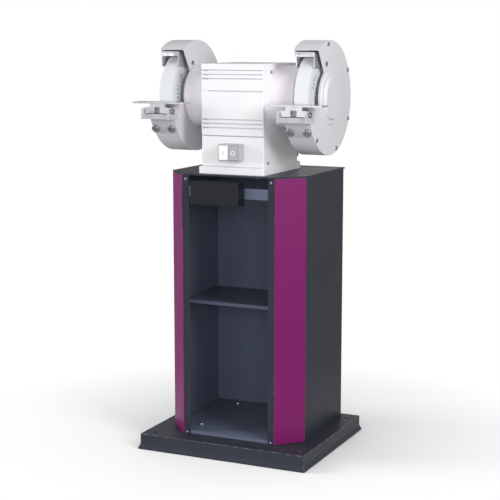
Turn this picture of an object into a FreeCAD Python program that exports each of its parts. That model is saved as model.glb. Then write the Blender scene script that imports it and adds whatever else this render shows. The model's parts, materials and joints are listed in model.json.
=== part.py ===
"""A double-wheel bench grinder bolted to its open-front sheet-steel pedestal.

Millimetres, +Z up, X to the right, Y to the back. The origin is on the floor, under the centre of
the base tray. Every size is a named cell of the sheet, and the pieces are bound to those cells.
"""
import FreeCAD, Part
import math
import os
import re
import Sketcher

SIZES = {
    # pedestal
    "base_width": 510, "base_depth": 440, "base_height": 46, "base_flare": 5.5, "base_bead_height": 14,
    "base_sheet": 3, "base_return": 16, "anchor_inset": 32, "anchor_hole_radius": 7,
    "cabinet_half_width": 206, "cabinet_front": -163, "cabinet_back": 190, "cabinet_sheet": 2,
    "corner_run_x": 66, "corner_run_y": 70, "flange_width": 18, "strip_thickness": 3,
    "strip_margin": 1, "stand_height": 800, "top_sheet": 3, "top_lip_height": 4.5,
    "top_lip_sheet": 2, "top_overhang": 3, "floor_height": 56, "shelf_height": 415,
    "shelf_front": -45, "shelf_lip": 10, "support_leg": 22, "support_sheet": 2.5, "liner_gap": 0.5,
    "rail_drop": 35, "rail_height": 30, "rail_sheet": 3, "rail_overlap": 14,
    "trough_inset": 32, "trough_length": 145, "trough_drop": 15, "trough_height": 65,
    "trough_reach": 44, "trough_sheet": 1.5, "trough_gap": 8, "hook_width": 22, "hook_drop": 9,
    "hook_inset": 12, "hook_play": 0.5,
    # grinder foot and motor housing, with heights above the pedestal's top
    "foot_margin": 5, "foot_front_margin": 19, "foot_back_margin": 12, "foot_height": 20,
    "foot_wall": 7, "foot_corner": 8, "housing_half_width": 95, "housing_front": -127,
    "housing_back": 108, "housing_rise": 304, "housing_wall": 5, "housing_corner": 6,
    "split_rise": 105, "panel_thickness": 8, "panel_gap": 1, "switch_panel_thickness": 6,
    "groove_width": 3, "groove_depth": 1.4, "groove_pocket": 22, "groove_pocket_depth": 3.6,
    "groove_step": 11.5, "upper_groove_rise": 286, "middle_groove_rise": 229,
    "lower_groove_rise": 151, "tab_thickness": 4, "tab_half_height": 9, "side_screw_radius": 2.5,
    "upper_screw_y": -84, "upper_screw_rise": 281, "lower_screw_y": -106, "lower_screw_rise": 32,
    # shaft line
    "shaft_y": -12, "shaft_rise": 210, "bell_radius": 88, "bell_wall": 7, "bell_length": 73,
    "bell_end_wall": 9, "spigot_start": 44, "spigot_wall": 6, "stator_half_length": 52,
    "rotor_radius": 40, "air_gap": 0.6, "winding_length": 28, "winding_margin": 5,
    "winding_room": 6, "rotor_ring": 9, "core_shaft_radius": 17, "bearing_seat_radius": 15,
    "bearing_radius": 31, "bearing_width": 16, "bearing_play": 0.03, "shaft_hole_play": 1.5,
    "wheel_seat_radius": 12.5, "thread_radius": 10, "thread_length": 22,
    # wheels and their flanges
    "wheel_radius": 125, "wheel_width": 40, "wheel_side_room": 18, "wheel_edge": 0.8,
    "flange_radius": 48, "inner_flange_width": 11, "outer_flange_width": 8, "flange_recess": 1.2,
    "flange_recess_radius": 34, "blotter_thickness": 1, "blotter_radius": 50, "nut_width": 11,
    "nut_flats": 30,
    # guards
    "guard_room": 33, "guard_wall": 3, "cover_side_room": 16, "guard_hole_radius": 30,
    "boss_radius": 58, "boss_step_radius": 76, "boss_height": 12, "boss_step_height": 4,
    "opening_radius": 84, "hood_angle": 57, "rest_angle": -10, "pillar_radius": 7,
    "pillar_inset": 9, "cover_screw_radius": 3, "cover_gap": 0.2, "guard_bolt_radius": 3,
    "guard_bolt_circle": 60, "guard_bolt_head": 4, "guard_bolt_flats": 10,
    # spark arresters
    "arrester_side_room": 7, "arrester_sheet": 2, "arrester_gap": 1, "arrester_front": -97,
    "arrester_depth": 34, "arrester_drop": 11, "arm_half_height": 10, "arm_back": -16,
    "arm_screw_y": -34, "arm_screw_room": 12, "arm_screw_radius": 3, "arm_slot_play": 0.4,
    "arm_side_play": 0.3, "arm_nut": 2.5, "arrester_travel": 8,
    # tool rests
    "rest_drop": 13, "rest_plate": 4, "rest_gap": 3, "rest_depth": 51, "rest_half_width": 80,
    "stem_half_width": 24, "wing_half_width": 38, "stem_height": 10, "wing_height": 17,
    "tongue_thickness": 12, "tongue_inset": 3, "slot_half_width": 9, "bar_half_width": 50,
    "bar_room": 2, "bar_height": 14, "saddle_margin": 14, "saddle_sheet": 6,
    "saddle_top_angle": -16, "saddle_low_angle": -38, "ear_thickness": 4, "ear_gap": 0.6,
    "ear_height": 31, "ear_proud": 11, "ear_length": 41, "rest_bolt_radius": 4, "rest_bolt_rise": 6,
    "rest_bolt_head": 6, "rest_bolt_flats": 13, "rest_bolt_play": 0.5, "rest_travel": 6,
    "rest_wear_slot": 14, "saddle_bolt_angle": -31, "saddle_bolt_margin": 5,
    "saddle_bolt_radius": 4, "saddle_bolt_head": 5,
    # switch
    "switch_centre": 3, "switch_half_width": 32, "switch_rise": 38, "switch_height": 47,
    "switch_depth": 32, "switch_wall": 3, "button_gap": 0.6, "button_travel": 4,
    "button_proud": 3, "button_length": 14,
    # fasteners and electrics
    "bolt_play": 0.3, "mount_bolt_radius": 4, "mount_bolt_x": 72, "mount_bolt_inset": 28,
    "mount_bolt_head": 5.3, "mount_bolt_flats": 13, "mount_bolt_grip": 14, "mount_washer": 1.6,
    "floor_bolt_radius": 4, "floor_bolt_head": 5.3, "floor_bolt_flats": 13, "floor_nut": 6.5,
    "floor_bolt_tip": 3, "floor_bolt_inset": 86, "floor_bolt_front": -95, "floor_bolt_back": 150,
    "flange_screw_radius": 1.9, "flange_screw_length": 14, "flange_screw_drop": 16, "screw_head": 3,
    "capacitor_radius": 20, "capacitor_length": 90, "capacitor_y": 68, "terminal_length": 60,
    "terminal_y": -40, "terminal_width": 24, "terminal_height": 20, "plate_half_width": 45,
    "plate_thickness": 1, "plate_rise": 230, "plate_height": 45, "gland_radius": 8,
    "gland_inset": 15, "gland_rise": 38, "gland_reach": 22, "gland_bore_radius": 4.5,
    "gland_collar": 7,
}

# Sizes and places that follow from the ones above.
DERIVED = {
    "opening_half_width": "cabinet_half_width - corner_run_x - flange_width",
    "rail_half_length": "opening_half_width + rail_overlap",
    "rail_high": "stand_height - rail_drop",
    "rail_low": "rail_high - rail_height",
    "trough_left": "trough_inset - opening_half_width",
    "trough_right": "trough_left + trough_length",
    "trough_high": "stand_height - trough_drop",
    "trough_low": "trough_high - trough_height",
    "floor_bolt_x": "cabinet_half_width - floor_bolt_inset",
    "foot_top": "stand_height + foot_height",
    "foot_half_width": "housing_half_width + foot_margin",
    "foot_front": "housing_front - foot_front_margin",
    "foot_back": "housing_back + foot_back_margin",
    "mount_bolt_front": "foot_front + mount_bolt_inset",
    "mount_bolt_back": "foot_back - mount_bolt_inset",
    "housing_top": "stand_height + housing_rise",
    "housing_split": "stand_height + split_rise",
    "upper_groove": "stand_height + upper_groove_rise",
    "middle_groove": "stand_height + middle_groove_rise",
    "lower_groove": "stand_height + lower_groove_rise",
    "upper_screw_height": "stand_height + upper_screw_rise",
    "lower_screw_height": "stand_height + lower_screw_rise",
    "switch_low": "stand_height + switch_rise",
    "switch_high": "switch_low + switch_height",
    "plate_low": "stand_height + plate_rise",
    "gland_height": "stand_height + gland_rise",
    "gland_x": "housing_half_width - gland_inset",
    "shaft_z": "stand_height + shaft_rise",
    "bell_end": "housing_half_width + bell_length",
    "spigot_radius": "bell_radius - bell_wall",
    "stator_radius": "spigot_radius - spigot_wall",
    "winding_radius": "stator_radius - winding_margin",
    "winding_bore": "rotor_radius + winding_room",
    "wheel_centre": "bell_end + wheel_side_room + wheel_width / 2",
    "shaft_end": "wheel_centre + wheel_width / 2 + thread_length",
    "guard_outer": "wheel_centre + wheel_width / 2 + cover_side_room",
    "guard_radius": "wheel_radius + guard_room",
    "pillar_circle": "guard_radius - pillar_inset",
    "arrester_half_width": "wheel_width / 2 + arrester_side_room",
    "arrester_rise": "wheel_radius + arrester_gap",
    "arm_screw_rise": "sqrt((bell_radius + arm_screw_room)^2 - arm_screw_y^2)",
    "arm_low": "arm_screw_rise - arm_half_height",
    "arm_high": "arm_screw_rise + arm_half_height",
    "rest_top": "shaft_z - rest_drop",
    "rest_back": "shaft_y - sqrt(wheel_radius^2 - rest_drop^2) - rest_gap",
    "rest_front": "rest_back - rest_depth",
    "stem_low": "rest_top - rest_plate - stem_height",
    "wing_low": "stem_low - wing_height",
    "rest_bolt_height": "wing_low + rest_bolt_rise",
    "bar_high": "wing_low - bar_room",
    "bar_low": "bar_high - bar_height",
    "ear_high": "bar_low + ear_height",
    "ear_front": "rest_front - ear_proud",
    "ear_back": "ear_front + ear_length",
    "saddle_half_width": "wheel_width / 2 + saddle_margin",
    "saddle_bolt_offset": "wheel_width / 2 + saddle_bolt_margin",
}

GUARD_BOLT_ANGLES = (45, 135, 225, 315)
PILLAR_ANGLES = (82, 150, 205, 252, 312)

doc = FreeCAD.newDocument("BenchGrinder")
sheet = doc.addObject("Spreadsheet::Sheet", "Sizes")
for row, (alias, value) in enumerate(SIZES.items(), 1):
    sheet.set(f"A{row}", alias)
    sheet.set(f"B{row}", str(value))
    sheet.setAlias(f"B{row}", alias)
doc.recompute()

NODES = {}
AXES = ("x", "y", "z")
ALONG = {
    "x": FreeCAD.Rotation(FreeCAD.Vector(0, 1, 0), 90),
    "y": FreeCAD.Rotation(FreeCAD.Vector(1, 0, 0), -90),
    "z": FreeCAD.Rotation(),
}


def bound(expression):
    """An expression with the name of each size pointing at its cell of the sheet."""

    def pointed(word):
        if word[0] in DERIVED:
            return f"({bound(DERIVED[word[0]])})"
        return f"Sizes.{word[0]}" if word[0] in SIZES else word[0]

    return re.sub(r"[a-z_]+", pointed, expression)


def place(piece, x="0", y="0", z="0"):
    for axis, expression in zip(AXES, (x, y, z)):
        piece.setExpression(f".Placement.Base.{axis}", bound(str(expression)))
    return piece


def box(name, x, y, z):
    """A block from the low to the high value along each axis."""
    piece = doc.addObject("Part::Box", name)
    for side, (low, high) in zip(("Length", "Width", "Height"), (x, y, z)):
        piece.setExpression(side, bound(f"({high}) - ({low})"))
    return place(piece, x[0], y[0], z[0])


def rod(name, axis, radius, low, high, at):
    """A cylinder along one axis, at the values given for the other two."""
    piece = doc.addObject("Part::Cylinder", name)
    piece.setExpression("Radius", bound(str(radius)))
    piece.setExpression("Height", bound(f"({high}) - ({low})"))
    piece.Placement = FreeCAD.Placement(FreeCAD.Vector(), ALONG[axis])
    centre = list(at)
    centre.insert(AXES.index(axis), low)
    return place(piece, *centre)


def hexagon(name, axis, flats, low, high, at):
    """A hexagonal prism along one axis, measured across its flats."""
    piece = doc.addObject("Part::Prism", name)
    piece.Polygon = 6
    piece.setExpression("Circumradius", bound(f"({flats}) / sqrt(3)"))
    piece.setExpression("Height", bound(f"({high}) - ({low})"))
    piece.Placement = FreeCAD.Placement(FreeCAD.Vector(), ALONG[axis])
    centre = list(at)
    centre.insert(AXES.index(axis), low)
    return place(piece, *centre)


def fused(name, *pieces):
    result = doc.addObject("Part::MultiFuse", name)
    result.Shapes = list(pieces)
    return result


def cut(name, base, *tools):
    result = doc.addObject("Part::Cut", name)
    result.Base = base
    result.Tool = tools[0] if len(tools) == 1 else fused(f"{name}_tools", *tools)
    return result


def group(name, *pieces):
    """Several solids of one kind that don't touch, kept as one sub-part."""
    result = doc.addObject("Part::Compound", name)
    result.Links = list(pieces)
    return result


def rounded(name, base, radius, chosen):
    """A fillet of one radius on the edges that the test picks."""
    doc.recompute()
    result = doc.addObject("Part::Fillet", name)
    result.Base = base
    edges = [number for number, edge in enumerate(base.Shape.Edges, 1) if chosen(edge)]
    result.Edges = [(number, radius, radius) for number in edges]
    return result


def mirrored(name, source):
    """The left-hand copy of a right-hand piece."""
    result = doc.addObject("Part::Mirroring", name)
    result.Source = source
    result.Normal = FreeCAD.Vector(1, 0, 0)
    return result


def node(name, piece):
    """Name a finished sub-part; its label is the name of its file."""
    piece.Label = name
    NODES[name] = piece
    return piece


def both(name, right):
    """A right-hand sub-part and its mirrored left-hand one."""
    node(f"right_{name}", right)
    node(f"left_{name}", mirrored(f"left_{name}", right))


def pair(name, right):
    """Both sides' copies of the same pieces, kept as one sub-part."""
    node(name, group(name, right, mirrored(f"{name}_mirror", right)))


def outline(body, plane, points):
    """A closed sketch of straight lines whose corners are bound to expressions."""
    sketch = body.newObject("Sketcher::SketchObject", f"{body.Name}_sketch")
    origin_plane = next(item for item in body.Origin.OriginFeatures if item.Role == plane)
    sketch.AttachmentSupport = [(origin_plane, "")]
    sketch.MapMode = "FlatFace"
    values = [tuple(float(sheet_value(expression)) for expression in point) for point in points]
    count = len(points)
    for number in range(count):
        start, end = values[number], values[(number + 1) % count]
        sketch.addGeometry(Part.LineSegment(FreeCAD.Vector(*start, 0), FreeCAD.Vector(*end, 0)))
    for number in range(count):
        sketch.addConstraint(Sketcher.Constraint("Coincident", number, 2, (number + 1) % count, 1))
    for number, (point, value) in enumerate(zip(points, values)):
        for kind, expression, distance in zip(("DistanceX", "DistanceY"), point, value):
            index = sketch.addConstraint(Sketcher.Constraint(kind, -1, 1, number, 1, distance))
            sketch.setExpression(f"Constraints[{index}]", bound(str(expression)))
    return sketch


def sheet_value(expression):
    """The present value of an expression, to draw a sketch close to its final shape."""
    value = sheet.evalExpression(bound(str(expression)))
    return getattr(value, "Value", value)


def padded(name, plane, points, low, high):
    """A prism of an outline, drawn on an origin plane and pushed along its normal."""
    body = doc.addObject("PartDesign::Body", name)
    sketch = outline(body, plane, points)
    pad = body.newObject("PartDesign::Pad", f"{name}_pad")
    pad.Profile = sketch
    pad.setExpression("Length", bound(f"({high}) - ({low})"))
    sketch.Visibility = False
    normal = {"XY_Plane": "z", "YZ_Plane": "x"}[plane]
    body.setExpression(f".Placement.Base.{normal}", bound(str(low)))
    return body


def turned(name, points):
    """A lathe piece on the shaft line, from a half section of distances along X and radii."""
    body = doc.addObject("PartDesign::Body", name)
    sketch = outline(body, "XY_Plane", points)
    spin = body.newObject("PartDesign::Revolution", f"{name}_spin")
    spin.Profile = sketch
    spin.ReferenceAxis = (sketch, ["H_Axis"])
    spin.Angle = 360
    return place(body, "0", "shaft_y", "shaft_z")


def bolt(name, axis, radius, tip, seat, head, flats, at):
    """A hexagon-head bolt: its shank runs from tip to seat, and its head on to the last value."""
    low, high = sorted((tip, seat), key=sheet_value)
    shank = rod(f"{name}_shank", axis, radius, low, high, at)
    low, high = sorted((seat, head), key=sheet_value)
    return fused(name, shank, hexagon(f"{name}_head", axis, flats, low, high, at))


# --- pedestal ---------------------------------------------------------------------------------

def cabinet_points(inset):
    """The cabinet's plan, drawn in from its outer face: square at the back, cornered in front."""
    run = "sqrt(corner_run_x^2 + corner_run_y^2)"
    side = f"(cabinet_half_width - ({inset}))"
    front = f"(cabinet_front + ({inset}))"
    back = f"(cabinet_back - ({inset}))"
    front_x = f"(cabinet_half_width - corner_run_x - ({inset}) * ({run} - corner_run_x) / corner_run_y)"
    side_y = f"(cabinet_front + corner_run_y + ({inset}) * ({run} - corner_run_y) / corner_run_x)"
    return [(f"-{side}", back), (f"-{side}", side_y), (f"-{front_x}", front), (front_x, front),
            (side, side_y), (side, back)]


def make_base_tray():
    half_x, half_y = "base_width / 2", "base_depth / 2"
    top = box("tray_top", (f"-{half_x}", half_x), (f"-{half_y}", half_y), ("0", "base_height"))
    wide_x, wide_y = f"({half_x} + base_flare)", f"({half_y} + base_flare)"
    bead = box("tray_bead", (f"-{wide_x}", wide_x), (f"-{wide_y}", wide_y), ("0", "base_bead_height"))
    block = fused("tray_block", *(rounded(f"{piece.Name}_eased", piece, 3, lambda edge: edge.CenterOfMass.z > 1)
                                  for piece in (top, bead)))
    hollows = []
    for name, x, y, low, high in (
            ("tray_hollow", f"({half_x} - base_sheet)", f"({half_y} - base_sheet)", "base_sheet",
             "base_height - base_sheet"),
            ("tray_bead_hollow", f"({wide_x} - base_sheet)", f"({wide_y} - base_sheet)", "base_sheet",
             "base_bead_height - base_sheet"),
            ("tray_mouth", f"({half_x} - base_return)", f"({half_y} - base_return)", "-1", "base_sheet")):
        hollows.append(box(name, (f"-{x}", x), (f"-{y}", y), (low, high)))
    holes = []
    for number, (x, y) in enumerate(((-1, -1), (1, -1), (1, 1), (-1, 1))):
        at = (f"{x} * (base_width / 2 - anchor_inset)", f"{y} * (base_depth / 2 - anchor_inset)")
        holes.append(rod(f"anchor_hole_{number}", "z", "anchor_hole_radius", "base_bead_height",
                         "base_height + 1", at))
    for number, at in enumerate(floor_bolt_places()):
        holes.append(rod(f"tray_bolt_hole_{number}", "z", "floor_bolt_radius + bolt_play",
                         "base_bead_height", "base_height + 1", at))
    node("base_tray", cut("base_tray", block, *hollows, *holes))


def floor_bolt_places():
    return [(f"{x} * floor_bolt_x", y) for x in (-1, 1) for y in ("floor_bolt_front", "floor_bolt_back")]


def make_cabinet():
    top = "stand_height - top_sheet"
    outside = padded("shell_outside", "XY_Plane", cabinet_points("0"), "base_height", top)
    inside = padded("shell_inside", "XY_Plane", cabinet_points("cabinet_sheet"), "base_height - 1", f"{top} + 1")
    opening = box("shell_opening", ("-opening_half_width", "opening_half_width"),
                  ("cabinet_front - 1", "cabinet_front + 2 * cabinet_sheet"), ("base_height - 1", f"{top} + 1"))
    holes = [rod(f"flange_hole_{number}", "y", "flange_screw_radius + bolt_play", "cabinet_front - 1",
                 "cabinet_front + 3 * cabinet_sheet", at)
             for number, at in enumerate(flange_screw_places())]
    node("cabinet_shell", cut("cabinet_shell", outside, inside, opening, *holes))

    inset = "(cabinet_sheet + liner_gap)"
    cover = padded("floor_outside", "XY_Plane", cabinet_points(inset), "base_height", "floor_height")
    below = padded("floor_inside", "XY_Plane", cabinet_points(f"({inset} + cabinet_sheet)"),
                   "base_height - 1", "floor_height - cabinet_sheet")
    holes = [rod(f"floor_hole_{number}", "z", "floor_bolt_radius + bolt_play", "base_height", "floor_height + 1", at)
             for number, at in enumerate(floor_bolt_places())]
    holes += [rod(f"floor_skirt_hole_{number}", "y", "flange_screw_radius + bolt_play", "cabinet_front",
                  "cabinet_front + 4 * cabinet_sheet", at)
              for number, at in enumerate(flange_screw_places()[:2])]
    node("cabinet_floor", cut("cabinet_floor", cover, below, *holes))


def flange_screw_places():
    heights = ("(base_height + floor_height) / 2", "(stand_height - flange_screw_drop)")
    middle = "((opening_half_width + cabinet_half_width - corner_run_x) / 2)"
    return [(f"{side} * {middle}", height) for height in heights for side in (-1, 1)]


def make_corner_panels():
    """The coloured strips on the two front corners, each a plate on the corner's slanted face."""
    run = "sqrt(corner_run_x^2 + corner_run_y^2)"

    def corner_point(along, out):
        x = (f"cabinet_half_width - corner_run_x + ({along}) * corner_run_x / {run}"
             f" + ({out}) * corner_run_y / {run}")
        y = f"cabinet_front + ({along}) * corner_run_y / {run} - ({out}) * corner_run_x / {run}"
        return x, y

    far = f"{run} - strip_margin"
    points = [corner_point("strip_margin", "0"), corner_point("strip_margin", "strip_thickness"),
              corner_point(far, "strip_thickness"), corner_point(far, "0")]
    both("corner_panel", padded("corner_strip", "XY_Plane", points, "base_height + strip_margin",
                                "stand_height - top_lip_height - strip_margin"))


def make_top_plate():
    plate = padded("top_outside", "XY_Plane", cabinet_points("-top_overhang"),
                   "stand_height - top_lip_height", "stand_height")
    below = padded("top_inside", "XY_Plane", cabinet_points("-(top_overhang - top_lip_sheet)"),
                   "stand_height - top_lip_height - 1", "stand_height - top_sheet")
    eased = rounded("top_block", plate, 1.2, lambda edge: edge.CenterOfMass.z > sheet_value("stand_height") - 1)
    holes = [rod(f"top_hole_{number}", "z", "mount_bolt_radius + bolt_play", "stand_height - 2 * top_sheet",
                 "stand_height + 1", at) for number, at in enumerate(mount_bolt_places())]
    node("top_plate", cut("top_plate", eased, below, *holes))


def mount_bolt_places():
    return [(f"{x} * mount_bolt_x", y) for x in (-1, 1) for y in ("mount_bolt_front", "mount_bolt_back")]


def make_shelf():
    half = "(cabinet_half_width - cabinet_sheet - liner_gap)"
    back = "cabinet_back - cabinet_sheet - liner_gap"
    under = "(shelf_height - cabinet_sheet)"
    plate = box("shelf_plate", (f"-{half}", half), ("shelf_front", back), (under, "shelf_height"))
    lip = box("shelf_front_lip", (f"-{half}", half), ("shelf_front", "shelf_front + cabinet_sheet"),
              ("shelf_height - shelf_lip", "shelf_height"))
    node("shelf", fused("shelf", plate, lip))

    wall = "(cabinet_half_width - cabinet_sheet)"
    reach = ("shelf_front + 2 * cabinet_sheet", "cabinet_back - cabinet_sheet - liner_gap")
    angles = []
    for side in (-1, 1):
        ends = sorted((f"{side} * {wall}", f"{side} * ({wall} - support_leg)"), key=sheet_value)
        legs = sorted((f"{side} * {wall}", f"{side} * ({wall} - support_sheet)"), key=sheet_value)
        flat = box("support_flat", ends, reach, (f"{under} - support_sheet", under))
        upright = box("support_upright", legs, reach, (f"{under} - support_leg", under))
        angles.append(fused("shelf_support", flat, upright))
    node("shelf_supports", group("shelf_supports", *angles))


def make_trough():
    rail_front, rail_back = "(cabinet_front + cabinet_sheet)", "(cabinet_front + cabinet_sheet + rail_sheet)"
    bar = box("rail_bar", ("-rail_half_length", "rail_half_length"), (rail_front, rail_back), ("rail_low", "rail_high"))
    holes = [rod("rail_hole", "y", "flange_screw_radius + bolt_play", "cabinet_front", f"{rail_back} + 1", at)
             for at in flange_screw_places()[2:]]
    node("trough_rail", cut("trough_rail", bar, *holes))

    back, front = "(cabinet_front - trough_gap)", "(cabinet_front - trough_gap - trough_reach)"
    outside = box("trough_outside", ("trough_left", "trough_right"), (front, back), ("trough_low", "trough_high"))
    eased = rounded("trough_block", outside, 2, lambda edge: edge.CenterOfMass.z < sheet_value("trough_high") - 1)
    inside = box("trough_inside", ("trough_left + trough_sheet", "trough_right - trough_sheet"),
                 (f"{front} + trough_sheet", f"{back} - trough_sheet"), ("trough_low + trough_sheet", "trough_high + 1"))
    hooks = []
    for start in ("trough_left + hook_inset", "trough_right - hook_inset - hook_width"):
        across = (start, f"{start} + hook_width")
        over = box("hook_over", across, (f"{back} - trough_sheet", f"{rail_back} + hook_play + trough_sheet"),
                   ("rail_high", "rail_high + trough_sheet"))
        drop = box("hook_drop", across, (f"{rail_back} + hook_play", f"{rail_back} + hook_play + trough_sheet"),
                   ("rail_high - hook_drop", "rail_high + trough_sheet"))
        hooks += [over, drop]
    node("water_trough", fused("water_trough", cut("trough_pan", eased, inside), *hooks))


def make_stand_fasteners():
    bolts, nuts = [], []
    for at in floor_bolt_places():
        bolts.append(bolt("floor_bolt", "z", "floor_bolt_radius", "base_height - base_sheet - floor_nut - floor_bolt_tip",
                          "floor_height", "floor_height + floor_bolt_head", "floor_bolt_flats", at))
        under = "(base_height - base_sheet)"
        blank = hexagon("floor_nut_blank", "z", "floor_bolt_flats", f"{under} - floor_nut", under, at)
        bore = rod("floor_nut_bore", "z", "floor_bolt_radius", f"{under} - floor_nut - 1", f"{under} + 1", at)
        nuts.append(cut("floor_nut", blank, bore))
    node("base_bolts", group("base_bolts", *bolts))
    node("base_nuts", group("base_nuts", *nuts))

    screws = []
    for at in flange_screw_places():
        shank = rod("flange_shank", "y", "flange_screw_radius", "cabinet_front", "cabinet_front + flange_screw_length", at)
        head = rod("flange_head", "y", "2 * flange_screw_radius", "cabinet_front - screw_head", "cabinet_front", at)
        screws.append(fused("flange_screw", shank, rounded("flange_head_round", head, 1.2, lambda edge: (
            edge.CenterOfMass.y < sheet_value("cabinet_front") - 2.5))))
    node("flange_screws", group("flange_screws", *screws))

    bolts, washers = [], []
    for at in mount_bolt_places():
        under = "(stand_height - top_sheet)"
        washer = rod("mount_washer_blank", "z", "2 * mount_bolt_radius", f"{under} - mount_washer", under, at)
        bore = rod("mount_washer_bore", "z", "mount_bolt_radius + bolt_play", f"{under} - 9", f"{under} + 9", at)
        washers.append(cut("mount_washer", washer, bore))
        bolts.append(bolt("mount_bolt", "z", "mount_bolt_radius", "stand_height + mount_bolt_grip",
                          f"{under} - mount_washer", f"{under} - mount_washer - mount_bolt_head",
                          "mount_bolt_flats", at))
    node("head_mount_bolts", group("head_mount_bolts", *bolts))
    node("head_mount_washers", group("head_mount_washers", *washers))


# --- grinder head -----------------------------------------------------------------------------

def wedge(name, low_angle, high_angle, low_x, high_x):
    """A prism fanning out from the shaft line between two angles, counted up from the front."""
    reach = "2 * guard_radius"
    points = [("shaft_y", "shaft_z")]
    for angle in (low_angle, high_angle):
        points.append((f"shaft_y - {reach} * cos({angle})", f"shaft_z + {reach} * sin({angle})"))
    return padded(name, "YZ_Plane", points, low_x, high_x)


def polar(radius, angle):
    """Y and Z at a radius and an angle about the shaft, counted up from the front."""
    return f"shaft_y - ({radius}) * cos({angle})", f"shaft_z + ({radius}) * sin({angle})"


def make_foot():
    block = box("foot_block", ("-foot_half_width", "foot_half_width"), ("foot_front", "foot_back"),
                ("stand_height", "foot_top"))
    corners = rounded("foot_corners", block, SIZES["foot_corner"], lambda edge: (
        edge.BoundBox.ZLength > 1 and edge.BoundBox.XLength < 1 and edge.BoundBox.YLength < 1))
    eased = rounded("foot_eased", corners, 2, lambda edge: edge.CenterOfMass.z > sheet_value("foot_top") - 1)
    hollow = box("foot_hollow", ("-(foot_half_width - foot_wall)", "foot_half_width - foot_wall"),
                 ("foot_front + foot_wall", "foot_back - foot_wall"), ("stand_height - 1", "foot_top - foot_wall"))
    posts, holes = [], []
    for at in mount_bolt_places():
        posts.append(rod("foot_post", "z", "2.5 * mount_bolt_radius", "stand_height", "foot_top - 1", at))
        holes.append(rod("foot_hole", "z", "mount_bolt_radius", "stand_height - 1", "stand_height + mount_bolt_grip", at))
    node("foot_plate", cut("foot_plate", fused("foot_body", cut("foot_pan", eased, hollow), *posts), *holes))


def make_housing():
    inner = "(housing_half_width - housing_wall)"
    block = box("housing_block", ("-housing_half_width", "housing_half_width"),
                ("housing_front", "housing_back"), ("foot_top", "housing_top"))
    back_edge = sheet_value("housing_back") - 1
    eased = rounded("housing_eased", block, SIZES["housing_corner"], lambda edge: (
        edge.CenterOfMass.y > back_edge and edge.CenterOfMass.z > sheet_value("foot_top") + 1))
    hollow = box("housing_hollow", (f"-{inner}", inner), ("housing_front - 1", "housing_back - housing_wall"),
                 ("foot_top - 1", "housing_top - housing_wall"))
    tunnel = rod("housing_tunnel", "x", "spigot_radius", "-housing_half_width - 1", "housing_half_width + 1",
                 ("shaft_y", "shaft_z"))
    holes = [rod("housing_screw_hole", "x", "side_screw_radius + bolt_play", "-housing_half_width - 1",
                 "housing_half_width + 1", at) for at in side_screw_places()]
    gland = rod("gland_hole", "y", "gland_radius", "housing_back - 2 * housing_wall", "housing_back + 1",
                ("gland_x", "gland_height"))
    node("motor_housing", cut("motor_housing", eased, hollow, tunnel, *holes, gland))


def side_screw_places():
    return [("upper_screw_y", "upper_screw_height"), ("lower_screw_y", "lower_screw_height")]


def panel_tabs(place_at):
    """Two ears inside the housing that a front panel is screwed to through the housing's sides."""
    y, z = place_at
    outer = "(housing_half_width - housing_wall - panel_gap)"
    tabs = []
    for side in (-1, 1):
        ends = sorted((f"{side} * {outer}", f"{side} * ({outer} - tab_thickness)"), key=sheet_value)
        tab = box("panel_tab", ends, ("housing_front", f"{y} + tab_half_height"),
                  (f"{z} - tab_half_height", f"{z} + tab_half_height"))
        hole = rod("panel_tab_hole", "x", "side_screw_radius", f"{ends[0]} - 1", f"{ends[1]} + 1", place_at)
        tabs.append(cut("panel_tab_cut", tab, hole))
    return tabs


def make_front_panels():
    front = "(housing_front - panel_thickness)"
    slab = box("front_slab", ("-housing_half_width", "housing_half_width"), (front, "housing_front"),
               ("housing_split + panel_gap / 2", "housing_top"))
    eased = rounded("front_eased", slab, 3, lambda edge: edge.CenterOfMass.y < sheet_value(front) + 1)
    grooves = []
    for start, count in (("upper_groove", 3), ("lower_groove", 3), ("middle_groove", 1)):
        for number in range(count):
            height = f"({start} - {number} * groove_step)"
            across = (f"{height} - groove_width / 2", f"{height} + groove_width / 2")
            grooves.append(box("front_groove", ("-housing_half_width - 1", "housing_half_width + 1"),
                               (f"{front} - 1", f"{front} + groove_depth"), across))
            if count > 1:
                grooves.append(box("front_pocket", ("-housing_half_width + groove_width",
                                                    "-housing_half_width + groove_pocket"),
                                   (f"{front} - 1", f"{front} + groove_pocket_depth"),
                                   (f"{height} - groove_width", f"{height} + groove_width / 2")))
    panel = cut("front_grooved", eased, *grooves)
    node("front_panel", fused("front_panel", panel, *panel_tabs(side_screw_places()[0])))

    front = "(housing_front - switch_panel_thickness)"
    slab = box("switch_slab", ("-housing_half_width", "housing_half_width"), (front, "housing_front"),
               ("foot_top", "housing_split - panel_gap / 2"))
    eased = rounded("switch_eased", slab, 2.5, lambda edge: edge.CenterOfMass.y < sheet_value(front) + 1)
    inner = "(switch_half_width - 2 * switch_wall)"
    window = box("switch_window", (f"switch_centre - {inner}", f"switch_centre + {inner}"),
                 (f"{front} - 1", "housing_front + 1"),
                 ("switch_low + 2 * switch_wall", "switch_high - 2 * switch_wall"))
    panel = cut("switch_cut", eased, window)
    node("switch_panel", fused("switch_panel", panel, *panel_tabs(side_screw_places()[1])))


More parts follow.
